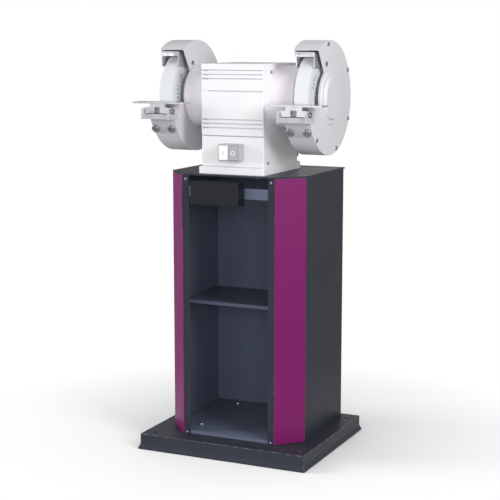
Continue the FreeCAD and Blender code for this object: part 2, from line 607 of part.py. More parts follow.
def make_side_screws():
    screws = []
    for side in (-1, 1):
        for at in side_screw_places():
            outer, inner = f"{side} * housing_half_width", f"{side} * (housing_half_width - 3 * housing_wall)"
            shank = sorted((outer, inner), key=sheet_value)
            cap = sorted((outer, f"{side} * (housing_half_width + screw_head)"), key=sheet_value)
            stem = rod("side_shank", "x", "side_screw_radius", shank[0], shank[1], at)
            head = rod("side_head", "x", "2 * side_screw_radius", cap[0], cap[1], at)
            eased = rounded("side_head_round", head, 1.2, lambda edge: (
                abs(edge.CenterOfMass.x) > sheet_value("housing_half_width") + 2.5))
            screws.append(fused("side_screw", stem, eased))
    node("housing_screws", group("housing_screws", *screws))


def make_switch():
    back = "(housing_front - switch_panel_thickness)"
    front = f"({back} - switch_depth)"
    outside = box("switch_outside", ("switch_centre - switch_half_width", "switch_centre + switch_half_width"),
                  (front, back), ("switch_low", "switch_high"))
    eased = rounded("switch_box_eased", outside, 4, lambda edge: edge.BoundBox.YLength > 20)
    floor = f"({front} + button_length - button_proud + button_travel + button_gap)"
    hollow = box("switch_hollow", ("switch_centre - switch_half_width + 2 * switch_wall",
                                   "switch_centre + switch_half_width - 2 * switch_wall"),
                 (f"{floor} + switch_wall", f"{back} + 1"),
                 ("switch_low + 2 * switch_wall", "switch_high - 2 * switch_wall"))
    wells, buttons = [], []
    for name, low, high in (
            ("start_button", "switch_centre - switch_half_width + switch_wall", "switch_centre - switch_wall / 4"),
            ("stop_button", "switch_centre + switch_wall / 4", "switch_centre + switch_half_width - switch_wall")):
        wells.append(box(f"{name}_well", (low, high), (f"{front} - 1", floor),
                         ("switch_low + switch_wall", "switch_high - switch_wall")))
        key = box(f"{name}_block", (f"{low} + button_gap", f"{high} - button_gap"),
                  (f"{front} - button_proud", f"{front} - button_proud + button_length"),
                  ("switch_low + switch_wall + button_gap", "switch_high - switch_wall - button_gap"))
        buttons.append((name, rounded(name, key, 1.2, lambda edge: (
            edge.CenterOfMass.y < sheet_value(front) - 2.9))))
    node("switch_box", cut("switch_box", eased, hollow, *wells))
    for name, button in buttons:
        node(name, button)


def make_shaft_line():
    """The rotor, its bearings and the end bells, all lathe pieces on the shaft line."""
    right_bell = turned("bell_blank", [
        ("bell_end - bell_end_wall", "bearing_seat_radius + shaft_hole_play"),
        ("bell_end", "bearing_seat_radius + shaft_hole_play"), ("bell_end", "bell_radius - 3"),
        ("bell_end - 3", "bell_radius"), ("housing_half_width", "bell_radius"),
        ("housing_half_width", "spigot_radius"), ("spigot_start", "spigot_radius"),
        ("spigot_start", "stator_radius"), ("housing_half_width + bell_wall", "stator_radius"),
        ("housing_half_width + bell_wall", "bell_radius - bell_wall"),
        ("bell_end - bell_end_wall", "bell_radius - bell_wall"),
        ("bell_end - bell_end_wall", "bearing_radius + bell_wall"),
        ("bell_end - bell_end_wall - bearing_width", "bearing_radius + bell_wall"),
        ("bell_end - bell_end_wall - bearing_width", "bearing_radius"),
        ("bell_end - bell_end_wall", "bearing_radius")])
    holes = [rod("bell_screw_hole", "x", "guard_bolt_radius", "bell_end - bell_end_wall - 1", "bell_end + 1",
                 polar("guard_bolt_circle", angle)) for angle in GUARD_BOLT_ANGLES]
    both("end_bell", cut("end_bell", right_bell, *holes))

    pair("bearings", turned("bearing", [
        ("bell_end - bell_end_wall - bearing_width", "bearing_seat_radius + bearing_play"),
        ("bell_end - bell_end_wall", "bearing_seat_radius + bearing_play"),
        ("bell_end - bell_end_wall", "bearing_radius"),
        ("bell_end - bell_end_wall - bearing_width", "bearing_radius")]))

    node("stator_core", turned("stator_core", [
        ("-stator_half_length", "rotor_radius + air_gap"), ("stator_half_length", "rotor_radius + air_gap"),
        ("stator_half_length", "stator_radius"), ("-stator_half_length", "stator_radius")]))
    pair("stator_windings", turned("winding", [
        ("stator_half_length", "winding_bore"), ("stator_half_length + winding_length - 6", "winding_bore"),
        ("stator_half_length + winding_length", "winding_bore + 6"),
        ("stator_half_length + winding_length", "winding_radius - 6"),
        ("stator_half_length + winding_length - 6", "winding_radius"), ("stator_half_length", "winding_radius")]))
    node("rotor_core", turned("rotor_core", [
        ("-stator_half_length", "core_shaft_radius"), ("stator_half_length", "core_shaft_radius"),
        ("stator_half_length", "rotor_radius"), ("-stator_half_length", "rotor_radius")]))
    rings = [turned("rotor_ring", [
        (f"{side} * stator_half_length", "core_shaft_radius"),
        (f"{side} * (stator_half_length + rotor_ring)", "core_shaft_radius"),
        (f"{side} * (stator_half_length + rotor_ring)", "rotor_radius - 3"),
        (f"{side} * stator_half_length", "rotor_radius - 1")]) for side in (-1, 1)]
    node("rotor_end_rings", group("rotor_end_rings", *rings))

    shoulder = "(bell_end - bell_end_wall - bearing_width)"
    half = [(shoulder, "core_shaft_radius"), (shoulder, "bearing_seat_radius"),
            (inner_flange_start(), "bearing_seat_radius"), (inner_flange_start(), "wheel_seat_radius"),
            ("wheel_centre + wheel_width / 2", "wheel_seat_radius"),
            ("wheel_centre + wheel_width / 2", "thread_radius"), ("shaft_end - 2", "thread_radius"),
            ("shaft_end", "thread_radius - 2"), ("shaft_end", "0")]
    left = [(f"-({x})", radius) for x, radius in reversed(half)]
    node("shaft", turned("shaft", left + half))


def inner_flange_start():
    return "(wheel_centre - wheel_width / 2 - blotter_thickness - inner_flange_width)"


def make_wheels():
    left_face, right_face = "(wheel_centre - wheel_width / 2)", "(wheel_centre + wheel_width / 2)"
    both("wheel", turned("wheel", [
        (left_face, "wheel_seat_radius"), (left_face, "wheel_radius - wheel_edge"),
        (f"{left_face} + wheel_edge", "wheel_radius"), (f"{right_face} - wheel_edge", "wheel_radius"),
        (right_face, "wheel_radius - wheel_edge"), (right_face, "wheel_seat_radius")]))

    inner_paper = turned("inner_blotter", [
        (f"{left_face} - blotter_thickness", "wheel_seat_radius"), (left_face, "wheel_seat_radius"),
        (left_face, "blotter_radius"), (f"{left_face} - blotter_thickness", "blotter_radius")])
    outer_paper = turned("outer_blotter", [
        (right_face, "thread_radius"), (f"{right_face} + blotter_thickness", "thread_radius"),
        (f"{right_face} + blotter_thickness", "blotter_radius"), (right_face, "blotter_radius")])
    pair("blotters", group("right_blotters", inner_paper, outer_paper))

    seat = f"({left_face} - blotter_thickness)"
    both("inner_flange", turned("inner_flange", [
        (inner_flange_start(), "wheel_seat_radius"), (inner_flange_start(), "flange_radius / 2"),
        (f"{inner_flange_start()} + inner_flange_width / 2", "flange_radius"), (seat, "flange_radius"),
        (seat, "flange_recess_radius"), (f"{seat} - flange_recess", "flange_recess_radius"),
        (f"{seat} - flange_recess", "wheel_seat_radius")]))
    seat = f"({right_face} + blotter_thickness)"
    both("outer_flange", turned("outer_flange", [
        (f"{seat} + outer_flange_width", "thread_radius"), (f"{seat} + outer_flange_width", "flange_radius / 2"),
        (f"{seat} + outer_flange_width / 2", "flange_radius"), (seat, "flange_radius"),
        (seat, "flange_recess_radius"), (f"{seat} + flange_recess", "flange_recess_radius"),
        (f"{seat} + flange_recess", "thread_radius")]))

    start = f"({seat} + outer_flange_width)"
    blank = hexagon("shaft_nut_blank", "x", "nut_flats", start, f"{start} + nut_width", ("shaft_y", "shaft_z"))
    bore = rod("shaft_nut_bore", "x", "thread_radius", f"{start} - 1", f"{start} + nut_width + 1",
               ("shaft_y", "shaft_z"))
    pair("shaft_nuts", cut("shaft_nut", blank, bore))


def ring(name, outer, inner, low, high):
    """A flat or tubular ring on the shaft line; its bore runs a little past both ends."""
    centre = ("shaft_y", "shaft_z")
    return cut(name, rod(f"{name}_outside", "x", outer, low, high, centre),
               rod(f"{name}_bore", "x", inner, f"({low}) - 1", f"({high}) + 1", centre))


def mouth(name, low, high):
    """The guard's open front, between the tool rest and the hood."""
    return wedge(name, "rest_angle", "hood_angle", f"({low}) - 1", f"({high}) + 1")


def make_guards():
    wall = ("bell_end", "bell_end + guard_wall")
    plate = ("guard_outer - guard_wall", "guard_outer")
    centre = ("shaft_y", "shaft_z")
    back_disc = cut("guard_back", rod("guard_back_disc", "x", "guard_radius", *wall, centre),
                    mouth("guard_back_mouth", *wall))
    hub_disc = rod("guard_hub_disc", "x", "opening_radius", *wall, centre)
    rim_ends = ("bell_end", f"{plate[0]} - cover_gap")
    rim = cut("guard_rim", ring("guard_rim_tube", "guard_radius", "guard_radius - guard_wall", *rim_ends),
              mouth("guard_rim_mouth", *rim_ends))
    pillars = [rod("guard_pillar", "x", "pillar_radius", "bell_end + 1", rim_ends[1], polar("pillar_circle", angle))
               for angle in PILLAR_ANGLES]
    holes = [rod("guard_pillar_hole", "x", "cover_screw_radius", "guard_outer - guard_wall - 14", "guard_outer",
                 polar("pillar_circle", angle)) for angle in PILLAR_ANGLES]
    holes.append(rod("guard_hub_hole", "x", "guard_hole_radius", "bell_end - 1", "bell_end + guard_wall + 1", centre))
    holes += [rod("guard_bolt_hole", "x", "guard_bolt_radius + bolt_play", "bell_end - 1", "bell_end + guard_wall + 1",
                  polar("guard_bolt_circle", angle)) for angle in GUARD_BOLT_ANGLES]
    holes.append(rod("guard_arm_hole", "x", "arm_screw_radius + bolt_play", "bell_end - 1",
                     "bell_end + guard_wall + 1", arm_screw_place()))
    holes += [radial_rod("guard_saddle_hole", "saddle_bolt_radius + bolt_play", "guard_radius - 2 * guard_wall",
                         "guard_radius + 1", x, "saddle_bolt_angle") for x in saddle_bolt_places()]
    both("guard_casing", cut("guard_casing", fused("guard_body", back_disc, hub_disc, rim, *pillars), *holes))

    disc = cut("cover_disc", rod("cover_plate", "x", "guard_radius", *plate, centre), mouth("cover_mouth", *plate),
               rod("cover_middle", "x", "opening_radius - guard_wall", f"{plate[0]} - 1", f"{plate[1]} + 1", centre))
    slope, step = "boss_step_height", "guard_outer + boss_step_height"
    boss = turned("cover_boss", [
        ("guard_outer", "opening_radius"), ("guard_outer", "boss_step_radius"),
        (step, f"boss_step_radius - {slope}"), (step, f"boss_radius + {slope}"),
        ("guard_outer + boss_height - 2", "boss_radius"), ("guard_outer + boss_height", "boss_radius - 2"),
        ("guard_outer + boss_height", "0"), ("guard_outer + boss_height - guard_wall", "0"),
        ("guard_outer + boss_height - guard_wall", "boss_radius - guard_wall"),
        (f"{step} - guard_wall", "boss_radius"), (f"{step} - guard_wall", "boss_step_radius - 2 * guard_wall"),
        ("guard_outer - guard_wall", "boss_step_radius - guard_wall"),
        ("guard_outer - guard_wall", "opening_radius")])
    holes = [rod("cover_screw_hole", "x", "cover_screw_radius + bolt_play", f"{plate[0]} - 1", f"{plate[1]} + 1",
                 polar("pillar_circle", angle)) for angle in PILLAR_ANGLES]
    holes.append(rod("cover_arm_hole", "x", "arm_screw_radius + bolt_play", f"{plate[0]} - 1", f"{plate[1]} + 1",
                     arm_screw_place()))
    both("guard_cover", cut("guard_cover", fused("cover_body", disc, boss), *holes))

    screws = []
    for angle in PILLAR_ANGLES:
        at = polar("pillar_circle", angle)
        stem = rod("cover_stem", "x", "cover_screw_radius", "guard_outer - guard_wall - 12", "guard_outer", at)
        head = rod("cover_head", "x", "2 * cover_screw_radius", "guard_outer", "guard_outer + screw_head", at)
        screws.append(fused("cover_screw", stem, rounded("cover_head_round", head, 1.2, lambda edge: (
            edge.CenterOfMass.x > sheet_value("guard_outer") + 2.5))))
    pair("cover_screws", group("right_cover_screws", *screws))
    bolts = [bolt("guard_bolt", "x", "guard_bolt_radius", "bell_end - bell_end_wall", "bell_end + guard_wall",
                  "bell_end + guard_wall + guard_bolt_head", "guard_bolt_flats", polar("guard_bolt_circle", angle)) for angle in GUARD_BOLT_ANGLES]
    pair("guard_bolts", group("right_guard_bolts", *bolts))


def radial_rod(name, radius, low, high, x, angle):
    """A cylinder pointing straight away from the shaft line at an angle counted up from the front."""
    piece = doc.addObject("Part::Cylinder", name)
    piece.setExpression("Radius", bound(radius))
    piece.setExpression("Height", bound(f"({high}) - ({low})"))
    piece.Placement = FreeCAD.Placement(FreeCAD.Vector(), FreeCAD.Rotation(FreeCAD.Vector(1, 0, 0), 90))
    piece.setExpression(".Placement.Rotation.Angle", bound(f"90 - ({angle})"))
    return place(piece, x, *polar(low, angle))


def saddle_bolt_places():
    return [f"wheel_centre + {side} * saddle_bolt_offset" for side in (-1, 1)]


def arm_screw_place():
    return "shaft_y + arm_screw_y", "shaft_z + arm_screw_rise"


def make_arresters():
    """The spark arrester: an inverted U over the wheel, with a slotted arm on each side."""
    front, back = "(shaft_y + arrester_front)", "(shaft_y + arrester_front + arrester_depth)"
    top, under = "(shaft_z + arrester_rise)", "(shaft_z + arrester_rise - arrester_sheet)"
    across = ("wheel_centre - arrester_half_width", "wheel_centre + arrester_half_width")
    pieces = [box("arrester_roof", across, (front, back), (under, top)),
              box("arrester_tongue", across, (f"{back} - arrester_sheet", back), (f"{under} - arrester_drop", top))]
    for side in (-1, 1):
        face = sorted((f"wheel_centre + {side} * arrester_half_width",
                       f"wheel_centre + {side} * (arrester_half_width - arrester_sheet)"), key=sheet_value)
        pieces.append(box("arrester_cheek", face, (front, back), ("shaft_z + arm_low", top)))
        pieces.append(box("arrester_arm", face, (front, "shaft_y + arm_back"),
                          ("shaft_z + arm_low", "shaft_z + arm_high")))
    y, z = arm_screw_place()
    slot = "arm_screw_radius + arm_slot_play"
    across = (f"{across[0]} - 1", f"{across[1]} + 1")
    ends = (f"{y} - arrester_travel", f"{y} + arrester_travel")
    slots = [box("arm_slot", across, ends, (f"{z} - ({slot})", f"{z} + ({slot})"))]
    slots += [rod("arm_slot_end", "x", slot, *across, (end, z)) for end in ends]
    both("spark_arrester", cut("spark_arrester", fused("arrester_body", *pieces), *slots))

    screws = []
    inner = ("wheel_centre - arrester_half_width", "wheel_centre + arrester_half_width")
    for outer, face, sign in (("bell_end", inner[0], 1), ("guard_outer", inner[1], -1)):
        wall = f"({outer} + {sign} * guard_wall)"
        nut_seat = f"({face} + {sign} * (arrester_sheet + arm_side_play))"
        for name, radius, start, end in (
                ("arm_head", "2 * arm_screw_radius", f"{outer} - {sign} * screw_head", outer),
                ("arm_stem", "arm_screw_radius", outer, f"{nut_seat} + {sign} * arm_nut"),
                ("arm_collar", "arm_screw_radius + 2", wall, f"{face} - {sign} * arm_side_play"),
                ("arm_nut_piece", "arm_screw_radius + 2", nut_seat, f"{nut_seat} + {sign} * arm_nut")):
            low, high = sorted((start, end), key=sheet_value)
            screws.append(rod(name, "x", radius, low, high, arm_screw_place()))
    pair("arrester_screws", group("right_arm_screws", fused("arm_screw_inner", *screws[:4]),
                                  fused("arm_screw_outer", *screws[4:])))


def make_tool_rests():
    under = "(rest_top - rest_plate)"

    def across(half):
        return f"wheel_centre - {half}", f"wheel_centre + {half}"

    plate = box("rest_plate_block", across("rest_half_width"), ("rest_front", "rest_back"), (under, "rest_top"))
    eased = rounded("rest_plate_eased", plate, 2, lambda edge: (
        edge.BoundBox.ZLength > 1 and edge.CenterOfMass.y < sheet_value("rest_front") + 1))
    thick = ("rest_front + tongue_inset", "rest_front + tongue_inset + tongue_thickness")
    stem = box("rest_stem", across("stem_half_width"), thick, ("stem_low", under))
    wings = box("rest_wings", across("wing_half_width"), thick, ("wing_low", "stem_low"))
    slot = box("rest_slot", across("slot_half_width"), ("rest_front - 1", f"{thick[1]} + 1"), ("wing_low - 1", "stem_low"))
    bolt_at = ("(rest_front + tongue_inset + tongue_thickness / 2)", "rest_bolt_height")
    bore = rod("rest_bore", "x", "rest_bolt_radius", *across("(wing_half_width + 1)"), bolt_at)
    both("tool_rest", cut("tool_rest", fused("rest_body", eased, stem, wings), slot, bore))

    outer = "(wing_half_width + ear_gap + ear_thickness + ear_gap)"
    bolts = []
    for side in (-1, 1):
        bolts.append(bolt("rest_clamp_bolt", "x", "rest_bolt_radius",
                          f"wheel_centre + {side} * (slot_half_width + 2)", f"wheel_centre + {side} * {outer}",
                          f"wheel_centre + {side} * ({outer} + rest_bolt_head)", "rest_bolt_flats", bolt_at))
    both("rest_clamp_bolts", group("rest_clamp_bolts", *bolts))

    bar = box("bracket_bar", across("bar_half_width"), ("rest_front", "shaft_y - guard_radius / 2"), ("bar_low", "bar_high"))
    ears, slots = [], []
    y, z = bolt_at
    travel = (f"{y} - rest_travel", f"{y} + rest_wear_slot")
    radius = "rest_bolt_radius + rest_bolt_play"
    for side in (-1, 1):
        near = f"wheel_centre + {side} * (wing_half_width + ear_gap)"
        far = f"wheel_centre + {side} * (wing_half_width + ear_gap + ear_thickness)"
        low, high = sorted((near, far), key=sheet_value)
        ears.append(box("bracket_ear", (low, high), ("ear_front", "ear_back"), ("bar_low", "ear_high")))
        through = (f"{low} - 1", f"{high} + 1")
        slots.append(box("ear_slot", through, travel, (f"{z} - ({radius})", f"{z} + ({radius})")))
        slots += [rod("ear_slot_end", "x", radius, *through, (end, z)) for end in travel]
    saddle_ends = across("saddle_half_width")
    tube = ring("saddle_tube", "guard_radius + saddle_sheet", "guard_radius", *saddle_ends)
    saddle = doc.addObject("Part::Common", "saddle")
    saddle.Base = tube
    saddle.Tool = wedge("saddle_fan", "saddle_low_angle", "saddle_top_angle",
                        f"{saddle_ends[0]} - 1", f"{saddle_ends[1]} + 1")
    clear = rod("guard_clear", "x", "guard_radius", *across("(bar_half_width + 5)"), ("shaft_y", "shaft_z"))
    holes = [radial_rod("saddle_hole", "saddle_bolt_radius + bolt_play", "guard_radius - 5",
                        "guard_radius + saddle_sheet + 5", x, "saddle_bolt_angle") for x in saddle_bolt_places()]
    body = fused("bracket_body", bar, saddle, *ears)
    both("rest_bracket", cut("rest_bracket", body, clear, *slots, *holes))

    bolts = []
    for x in saddle_bolt_places():
        seat = "(guard_radius + saddle_sheet)"
        stem = radial_rod("saddle_stem", "saddle_bolt_radius", "guard_radius - 3 * guard_wall", seat, x, "saddle_bolt_angle")
        head = radial_rod("saddle_head", "2 * saddle_bolt_radius", seat, f"{seat} + saddle_bolt_head", x,
                          "saddle_bolt_angle")
        bolts.append(fused("saddle_bolt", stem, head))
    pair("bracket_bolts", group("right_bracket_bolts", *bolts))


def make_electrics():
    at = ("capacitor_y", "foot_top + capacitor_radius")
    node("capacitor", rod("capacitor", "x", "capacitor_radius", "-capacitor_length / 2", "capacitor_length / 2", at))
    node("terminal_block", box("terminal_block", ("-terminal_length / 2", "terminal_length / 2"),
                               ("terminal_y", "terminal_y + terminal_width"), ("foot_top", "foot_top + terminal_height")))
    at = ("gland_x", "gland_height")
    body = rod("gland_body", "y", "gland_radius", "housing_back - 2 * housing_wall", "housing_back", at)
    collar = hexagon("gland_collar", "y", "2.6 * gland_radius", "housing_back", "housing_back + gland_collar", at)
    nose = rod("gland_nose", "y", "gland_radius", "housing_back + gland_collar", "housing_back + gland_reach", at)
    bore = rod("gland_bore", "y", "gland_bore_radius", "housing_back - 3 * housing_wall", "housing_back + 40", at)
    node("cable_gland", cut("cable_gland", fused("gland_whole", body, collar, nose), bore))
    plate = box("plate_block", ("-plate_half_width", "plate_half_width"),
                ("housing_back", "housing_back + plate_thickness"),
                ("plate_low", "plate_low + plate_height"))
    node("rating_plate", plate)


def check_document():
    failed = [item.Label for item in doc.Objects if "Invalid" in item.State or "Error" in item.State]
    if failed:
        raise RuntimeError(f"these didn't compute: {failed}")
    for name, item in NODES.items():
        if item.Shape.isNull() or not item.Shape.isValid() or not item.Shape.Solids:
            raise RuntimeError(f"{name} is empty or not valid")


for make in (make_base_tray, make_cabinet, make_corner_panels, make_top_plate, make_shelf, make_trough,
             make_stand_fasteners, make_foot, make_housing, make_front_panels, make_side_screws,
             make_switch, make_shaft_line, make_wheels, make_guards, make_arresters, make_tool_rests,
             make_electrics):
    make()
doc.recompute()
check_document()
os.makedirs("parts", exist_ok=True)
for name, item in NODES.items():
    item.Shape.exportStep(f"parts/{name}.step")
print(len(NODES), "sub-parts written")
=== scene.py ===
"""Looks of the bench grinder on its pedestal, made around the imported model. Lengths are in metres."""

import json
import math

import bmesh
import bpy
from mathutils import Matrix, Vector


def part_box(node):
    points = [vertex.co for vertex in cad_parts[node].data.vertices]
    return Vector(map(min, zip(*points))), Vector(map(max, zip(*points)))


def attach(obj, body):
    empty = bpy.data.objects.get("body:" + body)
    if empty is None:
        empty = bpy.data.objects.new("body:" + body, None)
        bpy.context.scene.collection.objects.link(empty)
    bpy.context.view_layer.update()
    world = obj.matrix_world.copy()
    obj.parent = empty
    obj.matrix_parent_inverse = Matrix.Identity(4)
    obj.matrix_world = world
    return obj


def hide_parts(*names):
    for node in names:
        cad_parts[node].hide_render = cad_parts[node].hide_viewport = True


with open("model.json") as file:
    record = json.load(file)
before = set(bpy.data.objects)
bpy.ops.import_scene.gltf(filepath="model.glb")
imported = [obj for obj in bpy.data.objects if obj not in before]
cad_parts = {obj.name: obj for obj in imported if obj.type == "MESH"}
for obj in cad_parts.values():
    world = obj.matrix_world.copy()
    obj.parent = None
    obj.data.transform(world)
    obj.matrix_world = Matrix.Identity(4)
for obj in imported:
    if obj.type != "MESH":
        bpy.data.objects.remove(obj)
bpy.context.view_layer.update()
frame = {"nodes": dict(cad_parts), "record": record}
MM = 0.001
MERGE_DISTANCE = 0.02 * MM
FLAT_ANGLE = math.radians(0.4)
EDGE_ANGLE = 32
DUST_COLOUR = (0.42, 0.41, 0.40, 1.0)
BARE_EDGE = (0.55, 0.55, 0.57, 1.0)
METAL_STAIN = (0.2, 0.18, 0.16, 1.0)
BODY_OF = {node: body for body, nodes in frame["record"]["behaviour"]["bodies"].items() for node in nodes}
SLOT_OF = {name: node.data.materials[0].name for name, node in frame["nodes"].items()}


# ---------------------------------------------------------------- bench tools


def clear():
    bpy.ops.object.select_all(action="DESELECT")
    bpy.context.view_layer.objects.active = None


def only(*pieces):
    clear()
    for piece in pieces:
        piece.select_set(True)
    bpy.context.view_layer.objects.active = pieces[0]


def editing(piece, work):
    """Run some edit-mode work on one piece, with everything selected at the start."""
    only(piece)
    bpy.ops.object.mode_set(mode="EDIT")
    bpy.ops.mesh.select_all(action="SELECT")
    work()
    bpy.ops.object.mode_set(mode="OBJECT")


def picked(kind, test):
    """In edit mode, leave selected only the vertices, edges or faces that pass the test."""
    bpy.ops.mesh.select_all(action="DESELECT")
    bpy.ops.mesh.select_mode(type=kind)
    mesh = bmesh.from_edit_mesh(bpy.context.edit_object.data)
    chosen = {"VERT": mesh.verts, "EDGE": mesh.edges, "FACE": mesh.faces}[kind]
    for part in chosen:
        if test(part):
            part.select_set(True)
    bmesh.update_edit_mesh(bpy.context.edit_object.data)


def modified(piece, kind, **settings):
    """Add a modifier with these settings and apply it."""
    only(piece)
    added = piece.modifiers.new(kind.lower(), kind)
    for name, value in settings.items():
        setattr(added, name, value)
    bpy.ops.object.modifier_apply(modifier=added.name)


def tidied(piece):
    """Merge doubles and turn every face outwards."""

    def work():
        bpy.ops.mesh.remove_doubles(threshold=MERGE_DISTANCE)
        bpy.ops.mesh.normals_make_consistent(inside=False)

    editing(piece, work)


def rounded(piece, width, segments=2, angle=EDGE_ANGLE):
    """Ease the sharp edges, and keep the eased faces on record for the finish to rub."""
    while len(piece.data.materials) < 2:
        piece.data.materials.append(None)
    modified(piece, "BEVEL", width=width, segments=segments, limit_method="ANGLE",
             angle_limit=math.radians(angle), material=1, use_clamp_overlap=True)
    rubbed = [1.0 if face.material_index == 1 else 0.0 for face in piece.data.polygons]
    piece.data.attributes.new("rubbed", "FLOAT", "FACE").data.foreach_set("value", rubbed)
    piece.data.polygons.foreach_set("material_index", [0] * len(rubbed))
    piece.data.materials.clear()


def smoothed(piece, angle=EDGE_ANGLE):
    """Smooth the curved faces and keep the flat ones flat."""
    only(piece)
    bpy.ops.object.shade_smooth_by_angle(angle=math.radians(angle))
    modified(piece, "WEIGHTED_NORMAL", keep_sharp=True, weight=80)


def settled(piece):
    """Put the piece's place, turn and size into its mesh."""
    only(piece)
    bpy.ops.object.transform_apply(location=True, rotation=True, scale=True)


def copied(node, name):
    """A piece that starts as a copy of one CAD node, with its loose triangles joined up."""
    piece = bpy.data.objects.new(name, frame["nodes"][node].data.copy())
    bpy.context.collection.objects.link(piece)

    def work():
        bpy.ops.mesh.remove_doubles(threshold=MERGE_DISTANCE)
        bpy.ops.mesh.dissolve_limited(angle_limit=FLAT_ANGLE)
        bpy.ops.mesh.normals_make_consistent(inside=False)

    editing(piece, work)
    return piece


def finished(piece, finish, body, *nodes):
    """Give a piece its finish and body, and stand it in for the CAD nodes named."""
    piece.data.materials.clear()
    piece.data.materials.append(FINISHES[finish])
    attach(piece, body)
    if nodes:
        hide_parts(*nodes)
    return piece


def eased(node, width):
    """A CAD node with its edges eased."""
    piece = copied(node, node + "_eased")
    rounded(piece, width)
    smoothed(piece)
    return finished(piece, SLOT_OF[node], BODY_OF[node], node)


# ---------------------------------------------------------------- shared surface effects


def put(tree, kind, settings=None, **inputs):
    """Add one node, with its settings and the values or links of its inputs."""
    node = tree.nodes.new("ShaderNode" + kind)
    for name, value in (settings or {}).items():
        setattr(node, name, value)
    for name, value in inputs.items():
        wire(tree, value, node.inputs[int(name[1:]) if name[1:].isdigit() else name.replace("_", " ")])
    return node


def wire(tree, value, socket):
    """Set a socket, or join it to another node's output."""
    if isinstance(value, bpy.types.NodeSocket):
        tree.links.new(value, socket)
    else:
        socket.default_value = value


def effect(name, inputs, outputs):
    """An empty node group with named inputs and outputs."""
    group = bpy.data.node_groups.new(name, "ShaderNodeTree")
    for label, value in inputs.items():
        kind = "NodeSocketColor" if isinstance(value, tuple) else "NodeSocketFloat"
        group.interface.new_socket(label, in_out="INPUT", socket_type=kind).default_value = value
    for label, kind in outputs.items():
        group.interface.new_socket(label, in_out="OUTPUT", socket_type="NodeSocket" + kind)
    start = group.nodes.new("NodeGroupInput").outputs
    end = group.nodes.new("NodeGroupOutput").inputs
    return group, start, end


def place_of(tree):
    return put(tree, "TexCoord").outputs["Object"]


def mixed(tree, amount, low, high):
    """A colour between low and high by the amount."""
    node = put(tree, "Mix", {"data_type": "RGBA"}, _0=amount, _6=low, _7=high)
    return node.outputs[2]


def sums(tree, operation, *values, clamp=False):
    node = put(tree, "Math", {"operation": operation, "use_clamp": clamp})
    for socket, value in zip(node.inputs, values):
        wire(tree, value, socket)
    return node.outputs[0]


def spread(tree, value, low, high, to_low=0.0, to_high=1.0):
    node = put(tree, "MapRange", None, Value=value, From_Min=low, From_Max=high,
               To_Min=to_low, To_Max=to_high)
    return node.outputs[0]


def make_orange_peel():
    """The fine rolling surface of sprayed or baked powder paint."""
    group, start, end = effect("Orange peel", {"Grain": 900.0, "Depth": 1.0}, {"Height": "Float"})
    fine = put(group, "TexNoise", None, Vector=place_of(group), Scale=start["Grain"],
               Detail=2.0, Roughness=0.45)
    grain = sums(group, "MULTIPLY", start["Grain"], 0.16)
    broad = put(group, "TexNoise", None, Vector=place_of(group), Scale=grain, Detail=1.0)
    height = sums(group, "MULTIPLY_ADD", broad.outputs[0], 0.7, fine.outputs[0])
    wire(group, sums(group, "MULTIPLY", height, start["Depth"]), end["Height"])
    return group


def make_tone():
    """A slow drift of a colour, lighter and darker."""
    group, start, end = effect("Tone drift", {"Colour": (0.5, 0.5, 0.5, 1.0), "Size": 6.0, "Amount": 0.1},
                               {"Colour": "Color", "Drift": "Float"})
    cloud = put(group, "TexNoise", None, Vector=place_of(group), Scale=start["Size"],
                Detail=4.0, Roughness=0.55)
    drift = sums(group, "MULTIPLY", sums(group, "SUBTRACT", cloud.outputs[0], 0.5), start["Amount"])
    value = sums(group, "ADD", drift, 1.0)
    turned = put(group, "HueSaturation", None, Value=value, Color=start["Colour"])
    wire(group, turned.outputs[0], end["Colour"])
    wire(group, cloud.outputs[0], end["Drift"])
    return group


def make_rubbed_edges():
    """Where handling has rubbed the eased edges, broken up along their length."""
    group, start, end = effect("Rubbed edges", {"Amount": 0.5, "Size": 60.0}, {"Mask": "Float"})
    edge = put(group, "Attribute", {"attribute_name": "rubbed"}).outputs["Fac"]
    breaks = put(group, "TexNoise", None, Vector=place_of(group), Scale=start["Size"], Detail=3.0)
    patchy = spread(group, breaks.outputs[0], 0.42, 0.62)
    mask = sums(group, "MULTIPLY", sums(group, "MULTIPLY", edge, patchy), start["Amount"], clamp=True)
    wire(group, mask, end["Mask"])
    return group


def make_dust():
    """Grinding dust lying on faces that look up, thicker in patches."""
    group, start, end = effect("Settled dust", {"Amount": 0.2, "Size": 14.0}, {"Mask": "Float"})
    facing = put(group, "SeparateXYZ", None, _0=put(group, "NewGeometry").outputs["Normal"]).outputs["Z"]
    upward = spread(group, facing, 0.55, 0.98)
    cloud = put(group, "TexNoise", None, Vector=place_of(group), Scale=start["Size"],
                Detail=5.0, Roughness=0.65)
    patchy = spread(group, cloud.outputs[0], 0.35, 0.75)
    mask = sums(group, "MULTIPLY", sums(group, "MULTIPLY", upward, patchy), start["Amount"], clamp=True)
    wire(group, mask, end["Mask"])
    return group


def make_brushed():
    """Fine straight scratches of a belt-finished metal, along x."""
    group, start, end = effect("Brushed grain", {"Grain": 900.0, "Depth": 1.0}, {"Height": "Float"})
    apart = put(group, "SeparateXYZ", None, _0=place_of(group)).outputs
    stretched = sums(group, "MULTIPLY", apart["X"], 0.03)
    drawn = put(group, "CombineXYZ", None, X=stretched, Y=apart["Y"], Z=apart["Z"])
    lines = put(group, "TexNoise", None, Vector=drawn.outputs[0], Scale=start["Grain"],
                Detail=3.0, Roughness=0.6)
    wire(group, sums(group, "MULTIPLY", lines.outputs[0], start["Depth"]), end["Height"])
    return group


